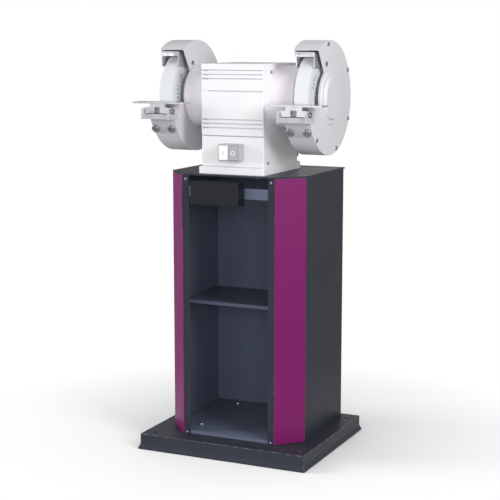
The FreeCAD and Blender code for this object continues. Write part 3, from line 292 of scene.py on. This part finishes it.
def make_inside_painted_light():
    """Inside the cabinet, where a paler blue-grey is mixed into the coat: painted light standing in for the
    light that reaches in.
    """
    group, start, end = effect("Painted light inside the cabinet", {"Amount": 1.0}, {"Mask": "Float"})
    low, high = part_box("cabinet_shell")
    middle, reach = (low + high) / 2, (high - low) / 2 - Vector((1, 1, 1)) * 1.6 * MM
    apart = put(group, "SeparateXYZ", None, _0=place_of(group)).outputs
    mask = start["Amount"]
    for axis, name in enumerate("XYZ"):
        mask = sums(group, "MULTIPLY", mask, sums(group, "COMPARE", apart[name], middle[axis], reach[axis]))
    wire(group, mask, end["Mask"])
    return group


def from_shaft(tree):
    """How far along, across and above the shaft line a point lies, and its distance from that line."""
    apart = put(tree, "SeparateXYZ", None, _0=place_of(tree)).outputs
    across = sums(tree, "SUBTRACT", apart["Y"], SHAFT_LINE.y)
    up = sums(tree, "SUBTRACT", apart["Z"], SHAFT_LINE.z)
    squares = sums(tree, "ADD", sums(tree, "POWER", across, 2.0), sums(tree, "POWER", up, 2.0))
    return apart["X"], across, up, sums(tree, "SQRT", squares)


def make_turned():
    """Rings left by a lathe tool, round the shaft line."""
    group, start, end = effect("Lathe rings", {"Pitch": 0.0008, "Depth": 1.0},
                               {"Height": "Float", "Reach": "Float"})
    forth, _, _, reach = from_shaft(group)
    along = sums(group, "ADD", reach, forth)
    turns = sums(group, "DIVIDE", along, start["Pitch"])
    ring = sums(group, "SINE", sums(group, "MULTIPLY", turns, math.tau))
    wire(group, sums(group, "MULTIPLY", ring, start["Depth"]), end["Height"])
    wire(group, reach, end["Reach"])
    return group


def make_grit():
    """Packed abrasive grains."""
    group, start, end = effect("Abrasive grit", {"Grain": 1100.0, "Depth": 1.0},
                               {"Height": "Float", "Mask": "Float"})
    grains = put(group, "TexVoronoi", None, Vector=place_of(group), Scale=start["Grain"])
    cloud = put(group, "TexNoise", None, Vector=place_of(group), Scale=start["Grain"], Detail=3.0)
    hollows = sums(group, "MULTIPLY", grains.outputs["Distance"], 0.8)
    height = sums(group, "SUBTRACT", cloud.outputs[0], hollows)
    wire(group, sums(group, "MULTIPLY", height, start["Depth"]), end["Height"])
    tint = put(group, "SeparateXYZ", None, _0=grains.outputs["Color"]).outputs["X"]
    wire(group, tint, end["Mask"])
    return group


def make_print():
    """Plain printing on a wheel's side: two rings, with rows of short dashes between them."""
    group, start, end = effect("Ring print", {"Inner": 0.06, "Outer": 0.1, "Count": 44.0}, {"Mask": "Float"})
    _, across, up, reach = from_shaft(group)
    inner = sums(group, "COMPARE", reach, start["Inner"], 0.0007)
    outer = sums(group, "COMPARE", reach, start["Outer"], 0.0007)
    share = spread(group, reach, start["Inner"], start["Outer"])
    row = sums(group, "PINGPONG", sums(group, "MULTIPLY", share, 4.0), 1.0)
    in_row = sums(group, "GREATER_THAN", row, 0.55)
    turn = sums(group, "MULTIPLY", sums(group, "ARCTAN2", up, across), start["Count"])
    dash = sums(group, "GREATER_THAN", sums(group, "SINE", turn), -0.1)
    beyond, short = sums(group, "GREATER_THAN", share, 0.12), sums(group, "LESS_THAN", share, 0.9)
    inside = sums(group, "MULTIPLY", beyond, short)
    words = put(group, "TexNoise", None, Vector=place_of(group), Scale=38.0, Detail=0.0)
    spaced = sums(group, "GREATER_THAN", words.outputs[0], 0.47)
    row_dashes = sums(group, "MULTIPLY", in_row, dash)
    dashes = sums(group, "MULTIPLY", row_dashes, sums(group, "MULTIPLY", inside, spaced))
    wire(group, sums(group, "MAXIMUM", sums(group, "MAXIMUM", inner, outer), dashes), end["Mask"])
    return group


SHAFT_LINE = (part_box("shaft")[0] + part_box("shaft")[1]) / 2
PEEL = make_orange_peel()
TONE = make_tone()
RUBBED = make_rubbed_edges()
DUST = make_dust()
BRUSHED = make_brushed()
INSIDE_PAINTED_LIGHT = make_inside_painted_light()
TURNED = make_turned()
GRIT = make_grit()
PRINT = make_print()


def using(tree, group, **inputs):
    node = tree.nodes.new("ShaderNodeGroup")
    node.node_tree = group
    for name, value in inputs.items():
        wire(tree, value, node.inputs[name])
    return node.outputs


def new_finish(name, **values):
    """A material with its plain values set on the shader itself."""
    made = bpy.data.materials.new(name.replace("_", " "))
    made.use_nodes = True
    tree = made.node_tree
    shader = tree.nodes["Principled BSDF"]
    for label, value in values.items():
        shader.inputs[label.replace("_", " ")].default_value = value
    FINISHES[name] = made
    return tree, shader.inputs


def bumped(tree, sockets, height, depth):
    bump = put(tree, "Bump", None, Height=height, Distance=depth)
    wire(tree, bump.outputs[0], sockets["Normal"])


def shade(red, green, blue):
    """A screen colour, out of 255, as the shader counts it."""
    parts = [value / 255 for value in (red, green, blue)]
    return (*[part / 12.92 if part <= 0.04045 else ((part + 0.055) / 1.055) ** 2.4 for part in parts], 1.0)


FINISHES = {}


# ---------------------------------------------------------------- finishes


def make_paint(name, colour, roughness, grain, depth, drift=0.08, rub=0.25, bare=BARE_EDGE,
               dust=0.0, gloss=0.4, inside=None):
    """Paint or powder coat over metal: orange peel, drifting tone, rubbed edges, a little dust, and, where an
    inside colour is given, a paler painted light inside the cabinet.
    """
    tree, sockets = new_finish(name, Specular_IOR_Level=gloss)
    tone = using(tree, TONE, Colour=colour, Size=5.0, Amount=drift)
    rubbed = using(tree, RUBBED, Amount=rub, Size=90.0)["Mask"]
    dusty = using(tree, DUST, Amount=dust, Size=16.0)["Mask"]
    wear_and_painted_light = mixed(tree, rubbed, tone["Colour"], bare)
    # Painted light: the inside colour brightens the coat within the cabinet in place of the light that
    # reaches in.
    if inside:
        wear_and_painted_light = mixed(tree, using(tree, INSIDE_PAINTED_LIGHT, Amount=1.0)["Mask"], wear_and_painted_light, inside)
    wire(tree, mixed(tree, dusty, wear_and_painted_light, DUST_COLOUR), sockets["Base Color"])
    rough = spread(tree, tone["Drift"], 0.3, 0.7, roughness * 0.88, roughness * 1.12)
    wire(tree, sums(tree, "MULTIPLY_ADD", dusty, 0.35, rough), sockets["Roughness"])
    bumped(tree, sockets, using(tree, PEEL, Grain=grain, Depth=1.0)["Height"], depth)


def make_bare_metal(name, colour, roughness, grain, depth, marks=PEEL):
    """Plated, machined or brushed metal, with a tool's marks in it and a few dull patches."""
    tree, sockets = new_finish(name, Metallic=1.0)
    tone = using(tree, TONE, Colour=colour, Size=24.0, Amount=0.1)
    dull = spread(tree, tone["Drift"], 0.58, 0.8, 0.0, 0.3)
    wire(tree, mixed(tree, dull, tone["Colour"], METAL_STAIN), sockets["Base Color"])
    wire(tree, spread(tree, tone["Drift"], 0.3, 0.7, roughness * 0.8, roughness * 1.25), sockets["Roughness"])
    spacing = "Pitch" if marks is TURNED else "Grain"
    bumped(tree, sockets, using(tree, marks, **{spacing: grain}, Depth=1.0)["Height"], depth)


def make_plastic(name, colour, roughness):
    """Moulded plastic with a spark-eroded texture and paler rubbed edges."""
    tree, sockets = new_finish(name, IOR=1.49)
    tone = using(tree, TONE, Colour=colour, Size=20.0, Amount=0.05)
    rubbed = using(tree, RUBBED, Amount=0.35, Size=200.0)["Mask"]
    paler = tuple(min(1.0, part * 1.6 + 0.03) for part in colour[:3]) + (1.0,)
    wire(tree, mixed(tree, rubbed, tone["Colour"], paler), sockets["Base Color"])
    rough = spread(tree, tone["Drift"], 0.3, 0.7, roughness * 0.85, roughness * 1.15)
    wire(tree, rough, sockets["Roughness"])
    bumped(tree, sockets, using(tree, PEEL, Grain=1400.0, Depth=1.0)["Height"], 0.04 * MM)


def make_abrasive(name):
    """White fused alumina in a glassy bond."""
    tree, sockets = new_finish(name)
    grit = using(tree, GRIT, Grain=1300.0, Depth=1.0)
    tone = using(tree, TONE, Colour=shade(212, 214, 218), Size=10.0, Amount=0.06)
    grains = mixed(tree, sums(tree, "MULTIPLY", grit["Mask"], 0.3), tone["Colour"], shade(184, 186, 192))
    printed = using(tree, PRINT, Inner=0.058, Outer=0.104, Count=52.0)["Mask"]
    ink = sums(tree, "MULTIPLY", printed, 0.75)
    wire(tree, mixed(tree, ink, grains, shade(120, 124, 142)), sockets["Base Color"])
    wire(tree, spread(tree, grit["Mask"], 0.0, 1.0, 0.7, 0.95), sockets["Roughness"])
    bumped(tree, sockets, grit["Height"], 0.0005)


def make_blotter(name):
    """The thick paper disc between a wheel and its flange, printed with plain rings."""
    tree, sockets = new_finish(name)
    tone = using(tree, TONE, Colour=shade(214, 216, 222), Size=40.0, Amount=0.1)
    reach = using(tree, TURNED, Pitch=0.004, Depth=1.0)["Reach"]
    band = sums(tree, "MULTIPLY", spread(tree, reach, 0.0492, 0.0494), spread(tree, reach, 0.0499, 0.0497))
    wire(tree, mixed(tree, band, tone["Colour"], shade(90, 92, 104)), sockets["Base Color"])
    wire(tree, spread(tree, tone["Drift"], 0.3, 0.7, 0.75, 0.92), sockets["Roughness"])
    bumped(tree, sockets, using(tree, PEEL, Grain=2200.0, Depth=1.0)["Height"], 0.00005)


# The inside colour is painted light: it brightens the coat within the cabinet in place of the light that
# reaches in.
make_paint("dark_powder_coat", shade(42, 45, 54), 0.42, 900.0, 0.00012, dust=0.02, gloss=0.2,
           inside=shade(92, 99, 118))
make_paint("trough_paint", shade(22, 24, 31), 0.42, 900.0, 0.00010, gloss=0.25)
make_paint("corner_paint", shade(108, 16, 86), 0.40, 850.0, 0.00011, gloss=0.25, bare=(0.45, 0.3, 0.42, 1.0))
make_paint("panel_paint", shade(220, 220, 223), 0.40, 800.0, 0.00010, drift=0.04, rub=0.15)
make_paint("housing_paint", shade(224, 220, 224), 0.42, 700.0, 0.00014, drift=0.05, rub=0.2)
make_paint("guard_paint", shade(200, 199, 203), 0.40, 700.0, 0.00016, drift=0.05, rub=0.2)
make_paint("bracket_paint", shade(178, 176, 182), 0.42, 700.0, 0.00014, rub=0.3)
make_bare_metal("zinc_fasteners", shade(156, 159, 165), 0.42, 1500.0, 0.00003)
make_bare_metal("bright_plate", shade(214, 215, 219), 0.36, 700.0, 0.00004, marks=BRUSHED)
make_bare_metal("machined_steel", shade(190, 191, 196), 0.25, 0.0006, 0.00002, marks=TURNED)
make_bare_metal("laminated_iron", shade(120, 118, 118), 0.45, 0.0005, 0.00012, marks=TURNED)
make_bare_metal("copper_winding", shade(186, 104, 62), 0.35, 600.0, 0.00030)
make_bare_metal("cast_aluminium", shade(188, 188, 192), 0.42, 500.0, 0.00020)
make_abrasive("abrasive")
make_blotter("blotter_paper")
make_plastic("switch_plastic", shade(168, 168, 172), 0.45)
make_plastic("start_plastic", shade(232, 232, 234), 0.35)
make_plastic("stop_plastic", shade(160, 160, 165), 0.38)
make_plastic("black_plastic", shade(58, 58, 62), 0.5)


# ---------------------------------------------------------------- fasteners


HEX_HEAD = 5.3 * MM
PAN_HEAD = 3 * MM
SOCKET_HEAD = 5 * MM
END_BAND = 0.05 * MM


def joined(name, pieces):
    only(*pieces)
    bpy.ops.object.join()
    pieces[0].name = name
    return pieces[0]


def carved(piece, cutter):
    """Cut one shape out of another and throw the cutter away."""
    modified(piece, "BOOLEAN", operation="DIFFERENCE", object=cutter, solver="EXACT")
    bpy.data.objects.remove(cutter)


def drum(sides, radius, low, high):
    """A plain upright prism to start from."""
    clear()
    bpy.ops.mesh.primitive_cylinder_add(vertices=sides, radius=radius, depth=high - low,
                                        location=(0, 0, (low + high) / 2))
    settled(bpy.context.object)
    return bpy.context.object


def is_top_edge(high):
    return lambda edge: min(vert.co.z for vert in edge.verts) > high - 0.01 * MM


def crowned(piece, high, width, segments):
    """Round or chamfer the rim at the top of an upright shape."""

    def work():
        picked("EDGE", is_top_edge(high))
        bpy.ops.mesh.bevel(offset=width, segments=segments, profile=0.5)

    editing(piece, work)


def make_pan_head(radius, height):
    """A low domed head with a cross recess."""
    head = drum(28, radius, 0, height)
    crowned(head, height, height * 0.6, 4)
    for turn in (0, math.pi / 2):
        clear()
        bpy.ops.mesh.primitive_cube_add(size=1, location=(0, 0, height), rotation=(0, 0, turn),
                                        scale=(radius * 1.05, radius * 0.24, height * 0.95))
        settled(bpy.context.object)
        carved(head, bpy.context.object)
    return head


def make_socket_head(radius, height):
    """A button head with a hexagon socket."""
    head = drum(32, radius, 0, height)
    crowned(head, height, height * 0.5, 4)
    carved(head, drum(6, radius * 0.5, height * 0.35, height * 2))
    return head


def make_hex_head(radius, height):
    """A hexagon head with chamfered corners on a round bearing face."""
    washer_face = height * 0.1
    head = drum(6, radius, washer_face, height)
    crowned(head, height, height * 0.14, 2)
    flats = radius * math.cos(math.pi / 6)
    return joined("hex_head", [head, drum(32, flats * 0.97, 0, washer_face)])


def loose_parts(node):
    """The corner points of each separate solid of a CAD node, in a settled order."""
    piece = copied(node, "loose")
    editing(piece, lambda: bpy.ops.mesh.separate(type="LOOSE"))
    parts = list(bpy.context.selected_objects)
    corners = [[vert.co.copy() for vert in part.data.vertices] for part in parts]
    for part in parts:
        bpy.data.objects.remove(part)
    return sorted(corners, key=lambda points: tuple(round(value, 5) for value in points_middle(points)))


def points_middle(points):
    low = Vector([min(point[axis] for point in points) for axis in range(3)])
    high = Vector([max(point[axis] for point in points) for axis in range(3)])
    return (low + high) / 2


def make_fasteners(node, make_head, head_height, aim):
    """Detailed screws or bolts in place of a CAD node's plain ones. The aim gives the way a head faces."""
    copies = []
    for points in loose_parts(node):
        facing = aim(points_middle(points)).normalized()
        reach = [point.dot(facing) for point in points]
        top, tip = max(reach), min(reach)
        rim = [point for point, along in zip(points, reach) if along > top - END_BAND]
        middle = points_middle(rim)
        off_line = [(point - middle - facing * (point - middle).dot(facing)).length for point in points]
        foot = [length for length, along in zip(off_line, reach) if along < tip + END_BAND]
        head = make_head(max(off_line), head_height)
        shank = drum(20, max(foot), head_height - (top - tip), END_BAND)
        screw = joined("screw", [head, shank])
        screw.rotation_euler = facing.to_track_quat("Z", "Y").to_euler()
        screw.location = middle - facing * head_height
        settled(screw)
        copies.append(screw)
    piece = joined(node + "_detailed", copies)
    tidied(piece)
    smoothed(piece, 38)
    return finished(piece, SLOT_OF[node], BODY_OF[node], node)


UP = Vector((0, 0, 1))
FRONT = Vector((0, -1, 0))


def outward(place):
    """Away from the middle of the machine, along the shaft."""
    return Vector((1 if place.x > 0 else -1, 0, 0))


def away_from_shaft(place):
    return Vector((0, place.y - SHAFT_LINE.y, place.z - SHAFT_LINE.z))


make_fasteners("base_bolts", make_hex_head, HEX_HEAD, lambda place: UP)
make_fasteners("head_mount_bolts", make_hex_head, HEX_HEAD, lambda place: UP)
make_fasteners("flange_screws", make_pan_head, PAN_HEAD, lambda place: FRONT)
make_fasteners("cover_screws", make_pan_head, PAN_HEAD, outward)
make_fasteners("housing_screws", make_pan_head, PAN_HEAD, outward)
make_fasteners("bracket_bolts", make_socket_head, SOCKET_HEAD, away_from_shaft)


# ---------------------------------------------------------------- base tray

# Each step of the skirt's outline, in millimetres: how far out from its wall, and how high.
SKIRT = ((0, 20), (0.7, 15), (2.4, 11), (4.4, 8), (5.5, 4.5), (5.0, 1.6), (3.4, 0))
TRAY_SHEET = 3 * MM
TRAY_RETURN = 16 * MM
BEAD = 5.5 * MM
ANCHOR_INSET = 32 * MM
ANCHOR_RADIUS = 7 * MM
TRAY_EDGE = 2.2 * MM


def slab(low, high):
    """A plain block between two corners to start from."""
    clear()
    middle = [(first + last) / 2 for first, last in zip(low, high)]
    size = [last - first for first, last in zip(low, high)]
    bpy.ops.mesh.primitive_cube_add(size=1, location=middle, scale=size)
    settled(bpy.context.object)
    return bpy.context.object


def make_base_tray():
    """The pressed tray: a skirt that flows out into a rolled foot, hollow below, with four anchor holes."""
    low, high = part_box("base_tray")
    half_x, half_y = high.x - BEAD, high.y - BEAD
    tray = slab((-half_x, -half_y, SKIRT[0][1] * MM), (half_x, half_y, high.z))

    def flare():
        picked("FACE", lambda face: face.normal.z < -0.9)
        for (last_out, last_height), (out, height) in zip(SKIRT, SKIRT[1:]):
            drop = (0, 0, (height - last_height) * MM)
            bpy.ops.mesh.extrude_region_move(TRANSFORM_OT_translate={"value": drop})
            grow = [(half + out * MM) / (half + last_out * MM) for half in (half_x, half_y)]
            bpy.ops.transform.resize(value=(*grow, 1), center_override=(0, 0, 0))

    editing(tray, flare)
    tidied(tray)
    inner = (half_x - TRAY_SHEET, half_y - TRAY_SHEET)
    mouth = (half_x - TRAY_RETURN, half_y - TRAY_RETURN)
    carved(tray, slab((-inner[0], -inner[1], TRAY_SHEET), (*inner, high.z - TRAY_SHEET)))
    carved(tray, slab((-mouth[0], -mouth[1], -TRAY_SHEET), (*mouth, 2 * TRAY_SHEET)))
    for x in (-1, 1):
        for y in (-1, 1):
            hole = drum(32, ANCHOR_RADIUS, high.z - 3 * TRAY_SHEET, high.z + TRAY_SHEET)
            hole.location = (x * (half_x - ANCHOR_INSET), y * (half_y - ANCHOR_INSET), 0)
            settled(hole)
            carved(tray, hole)
    tray.name = "base_tray_pressed"
    rounded(tray, TRAY_EDGE, 3, 44)
    smoothed(tray, 40)
    finished(tray, "dark_powder_coat", "frame", "base_tray")


make_base_tray()


# ---------------------------------------------------------------- front panel and switch

STAND_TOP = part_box("top_plate")[1].z
VENTED_GROOVES = [STAND_TOP + rise * MM for rise in (286, 274.5, 263, 151, 139.5, 128)]
PLAIN_GROOVE = STAND_TOP + 229 * MM
STRIP_HALF = 0.3 * MM
MARK_HALF = 0.5 * MM
MARK_EDGE = 0.3 * MM
BAR_HALF_WIDTH = 0.9 * MM
BAR_HALF_HEIGHT = 5.5 * MM
RING_OUTER = 6.2 * MM
RING_INNER = 4.4 * MM


def make_front_strips(name, finish, heights, left, right, depth, below, above):
    """Thin strips laid in the front panel's grooves, in darker finishes that paint the shade in them."""
    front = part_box("front_panel")[0].y
    strips = []
    for height in heights:
        strip = slab((left, front + depth - STRIP_HALF, height - below),
                     (right, front + depth + STRIP_HALF, height + above))
        rounded(strip, 0.2 * MM)
        strips.append(strip)
    strips = joined(name, strips)
    smoothed(strips)
    finished(strips, finish, "frame")


def make_grooves():
    """Darker floors for the grooves and their pockets, which stand in for the shadow in them."""
    low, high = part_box("front_panel")
    make_front_strips("groove_painted_shade", "bracket_paint", [*VENTED_GROOVES, PLAIN_GROOVE], low.x + 22 * MM,
                      high.x - 2 * MM, 1.2 * MM, 1.4 * MM, 1.4 * MM)
    make_front_strips("vent_slot_painted_shade", "switch_plastic", VENTED_GROOVES, low.x + 4 * MM, low.x + 21.5 * MM,
                      3 * MM, 2.6 * MM, 1.2 * MM)


def make_start_mark():
    """The raised bar on the start button."""
    low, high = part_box("start_button")
    middle = (low + high) / 2
    bar = slab((middle.x - BAR_HALF_WIDTH, low.y - MARK_HALF, middle.z - BAR_HALF_HEIGHT),
               (middle.x + BAR_HALF_WIDTH, low.y + MARK_HALF, middle.z + BAR_HALF_HEIGHT))
    rounded(bar, MARK_EDGE)
    smoothed(bar)
    bar.name = "start_mark"
    finished(bar, "bracket_paint", "start")


def make_stop_mark():
    """The raised ring on the stop button."""
    low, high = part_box("stop_button")
    middle = (low + high) / 2
    ring = drum(40, RING_OUTER, 0, 2 * MARK_HALF)
    carved(ring, drum(40, RING_INNER, -1 * MM, 2 * MM))
    ring.rotation_euler = (math.pi / 2, 0, 0)
    ring.location = (middle.x, low.y + MARK_HALF, middle.z)
    settled(ring)
    rounded(ring, MARK_EDGE)
    smoothed(ring)
    ring.name = "stop_mark"
    finished(ring, "start_plastic", "stop")


make_grooves()
make_start_mark()
make_stop_mark()


# ---------------------------------------------------------------- pieces

# The CAD nodes that keep their shape, with the width of their eased edges in millimetres.
EASED = {
    "cabinet_shell": 0.8, "cabinet_floor": 0.8, "top_plate": 1.0, "shelf": 0.8,
    "left_corner_panel": 0.6, "right_corner_panel": 0.6, "shelf_supports": 0.5, "trough_rail": 0.6,
    "water_trough": 0.5, "foot_plate": 1.0, "motor_housing": 1.0, "front_panel": 0.8, "switch_panel": 0.8,
    "switch_box": 1.6, "start_button": 0.8, "stop_button": 0.8, "left_end_bell": 1.2, "right_end_bell": 1.2,
    "left_guard_casing": 1.2, "right_guard_casing": 1.2, "left_guard_cover": 1.3, "right_guard_cover": 1.3,
    "left_wheel": 0.8, "right_wheel": 0.8, "left_inner_flange": 0.6, "right_inner_flange": 0.6,
    "left_outer_flange": 0.6, "right_outer_flange": 0.6, "shaft": 0.4, "shaft_nuts": 0.6,
    "left_rest_bracket": 0.8, "right_rest_bracket": 0.8, "left_tool_rest": 0.7, "right_tool_rest": 0.7,
    "left_spark_arrester": 0.4, "right_spark_arrester": 0.4, "base_nuts": 0.4,
    "arrester_screws": 0.4, "guard_bolts": 0.4, "head_mount_washers": 0.2,
    "left_rest_clamp_bolts": 0.4, "right_rest_clamp_bolts": 0.4, "cable_gland": 0.5, "rating_plate": 0.2,
    "blotters": 0.1,
}

for node, width in EASED.items():
    eased(node, width * MM)
for name, node in frame["nodes"].items():
    node.data.materials.clear()
    node.data.materials.append(FINISHES[SLOT_OF[name]])


# ---------------------------------------------------------------- floor, light and camera


CAMERA_GLOW = 1.0
FLOOR_GLOW = 0.34
ROOM_GLOW = 0.38
FADE_START, FADE_END = 0.3, 0.95
# Each lamp: its place, the point it faces, its width and height, and its power.
SOFTBOXES = {
    "front_softbox": ((-0.6, -3.8, 1.5), (0, 0, 0.7), (2.0, 2.2), 26),
    "camera_softbox": ((1.75, -3.9, 1.2), (0, 0, 0.6), (1.2, 1.6), 56),
    "right_softbox": ((3.2, -1.6, 1.7), (0, 0, 0.9), (1.2, 1.4), 48),
    "head_softbox": ((1.35, -0.75, 1.6), (0.1, 0, 1.0), (0.6, 0.6), 10),
    "left_softbox": ((-3.0, -1.2, 1.5), (0, 0, 0.7), (1.2, 2.2), 74),
    "rear_softbox": ((-0.6, 3.8, 2.4), (0, 0, 0.8), (2.0, 1.6), 9),
}
CAMERA_PLACE = (1.591, -3.445, 1.176)
CAMERA_TILT, CAMERA_TURN = math.radians(80.89), math.radians(24.9)
LENS, SENSOR = 95.6, 36.0


def make_floor():
    """A plain pale floor whose far parts fade into the white of the room."""
    bpy.ops.mesh.primitive_plane_add(size=40, location=(0, 0, 0))
    floor = bpy.context.object
    floor.name = "studio_floor"
    made = bpy.data.materials.new("Studio floor")
    made.use_nodes = True
    tree = made.node_tree
    shader = tree.nodes["Principled BSDF"]
    shader.inputs["Base Color"].default_value = (0.95, 0.95, 0.95, 1.0)
    shader.inputs["Roughness"].default_value = 0.8
    seen = put(tree, "LightPath").outputs["Is Camera Ray"]
    glow = put(tree, "Emission", None, Strength=spread(tree, seen, 0.0, 1.0, FLOOR_GLOW, CAMERA_GLOW))
    reach = put(tree, "VectorMath", {"operation": "LENGTH"}, _0=place_of(tree)).outputs["Value"]
    share = spread(tree, reach, FADE_START, FADE_END)
    fade = put(tree, "MixShader", None, _0=share, _1=shader.outputs[0], _2=glow.outputs[0])
    wire(tree, fade.outputs[0], tree.nodes["Material Output"].inputs["Surface"])
    floor.data.materials.append(made)


def make_softbox(name, place, aim, size, power):
    lamp = bpy.data.lights.new(name, "AREA")
    lamp.shape = "RECTANGLE"
    lamp.size, lamp.size_y = size
    lamp.energy = power
    box = bpy.data.objects.new(name, lamp)
    bpy.context.collection.objects.link(box)
    box.location = place
    box.rotation_euler = (Vector(aim) - Vector(place)).to_track_quat("-Z", "Y").to_euler()


def make_studio():
    scene = bpy.context.scene
    world = bpy.data.worlds.new("Studio")
    world.use_nodes = True
    tree = world.node_tree
    room = tree.nodes["Background"]
    room.inputs["Color"].default_value = (1.0, 1.0, 1.0, 1.0)
    seen = put(tree, "LightPath").outputs["Is Camera Ray"]
    wire(tree, spread(tree, seen, 0.0, 1.0, ROOM_GLOW, CAMERA_GLOW), room.inputs["Strength"])
    scene.world = world
    scene.view_settings.view_transform = "Standard"
    for name, (place, aim, size, power) in SOFTBOXES.items():
        make_softbox(name, place, aim, size, power)
    lens = bpy.data.cameras.new("studio_camera")
    lens.lens = LENS
    lens.sensor_width = SENSOR
    camera = bpy.data.objects.new("studio_camera", lens)
    bpy.context.collection.objects.link(camera)
    camera.location = CAMERA_PLACE
    camera.rotation_euler = (CAMERA_TILT, 0.0, CAMERA_TURN)
    scene.camera = camera


make_floor()
make_studio()
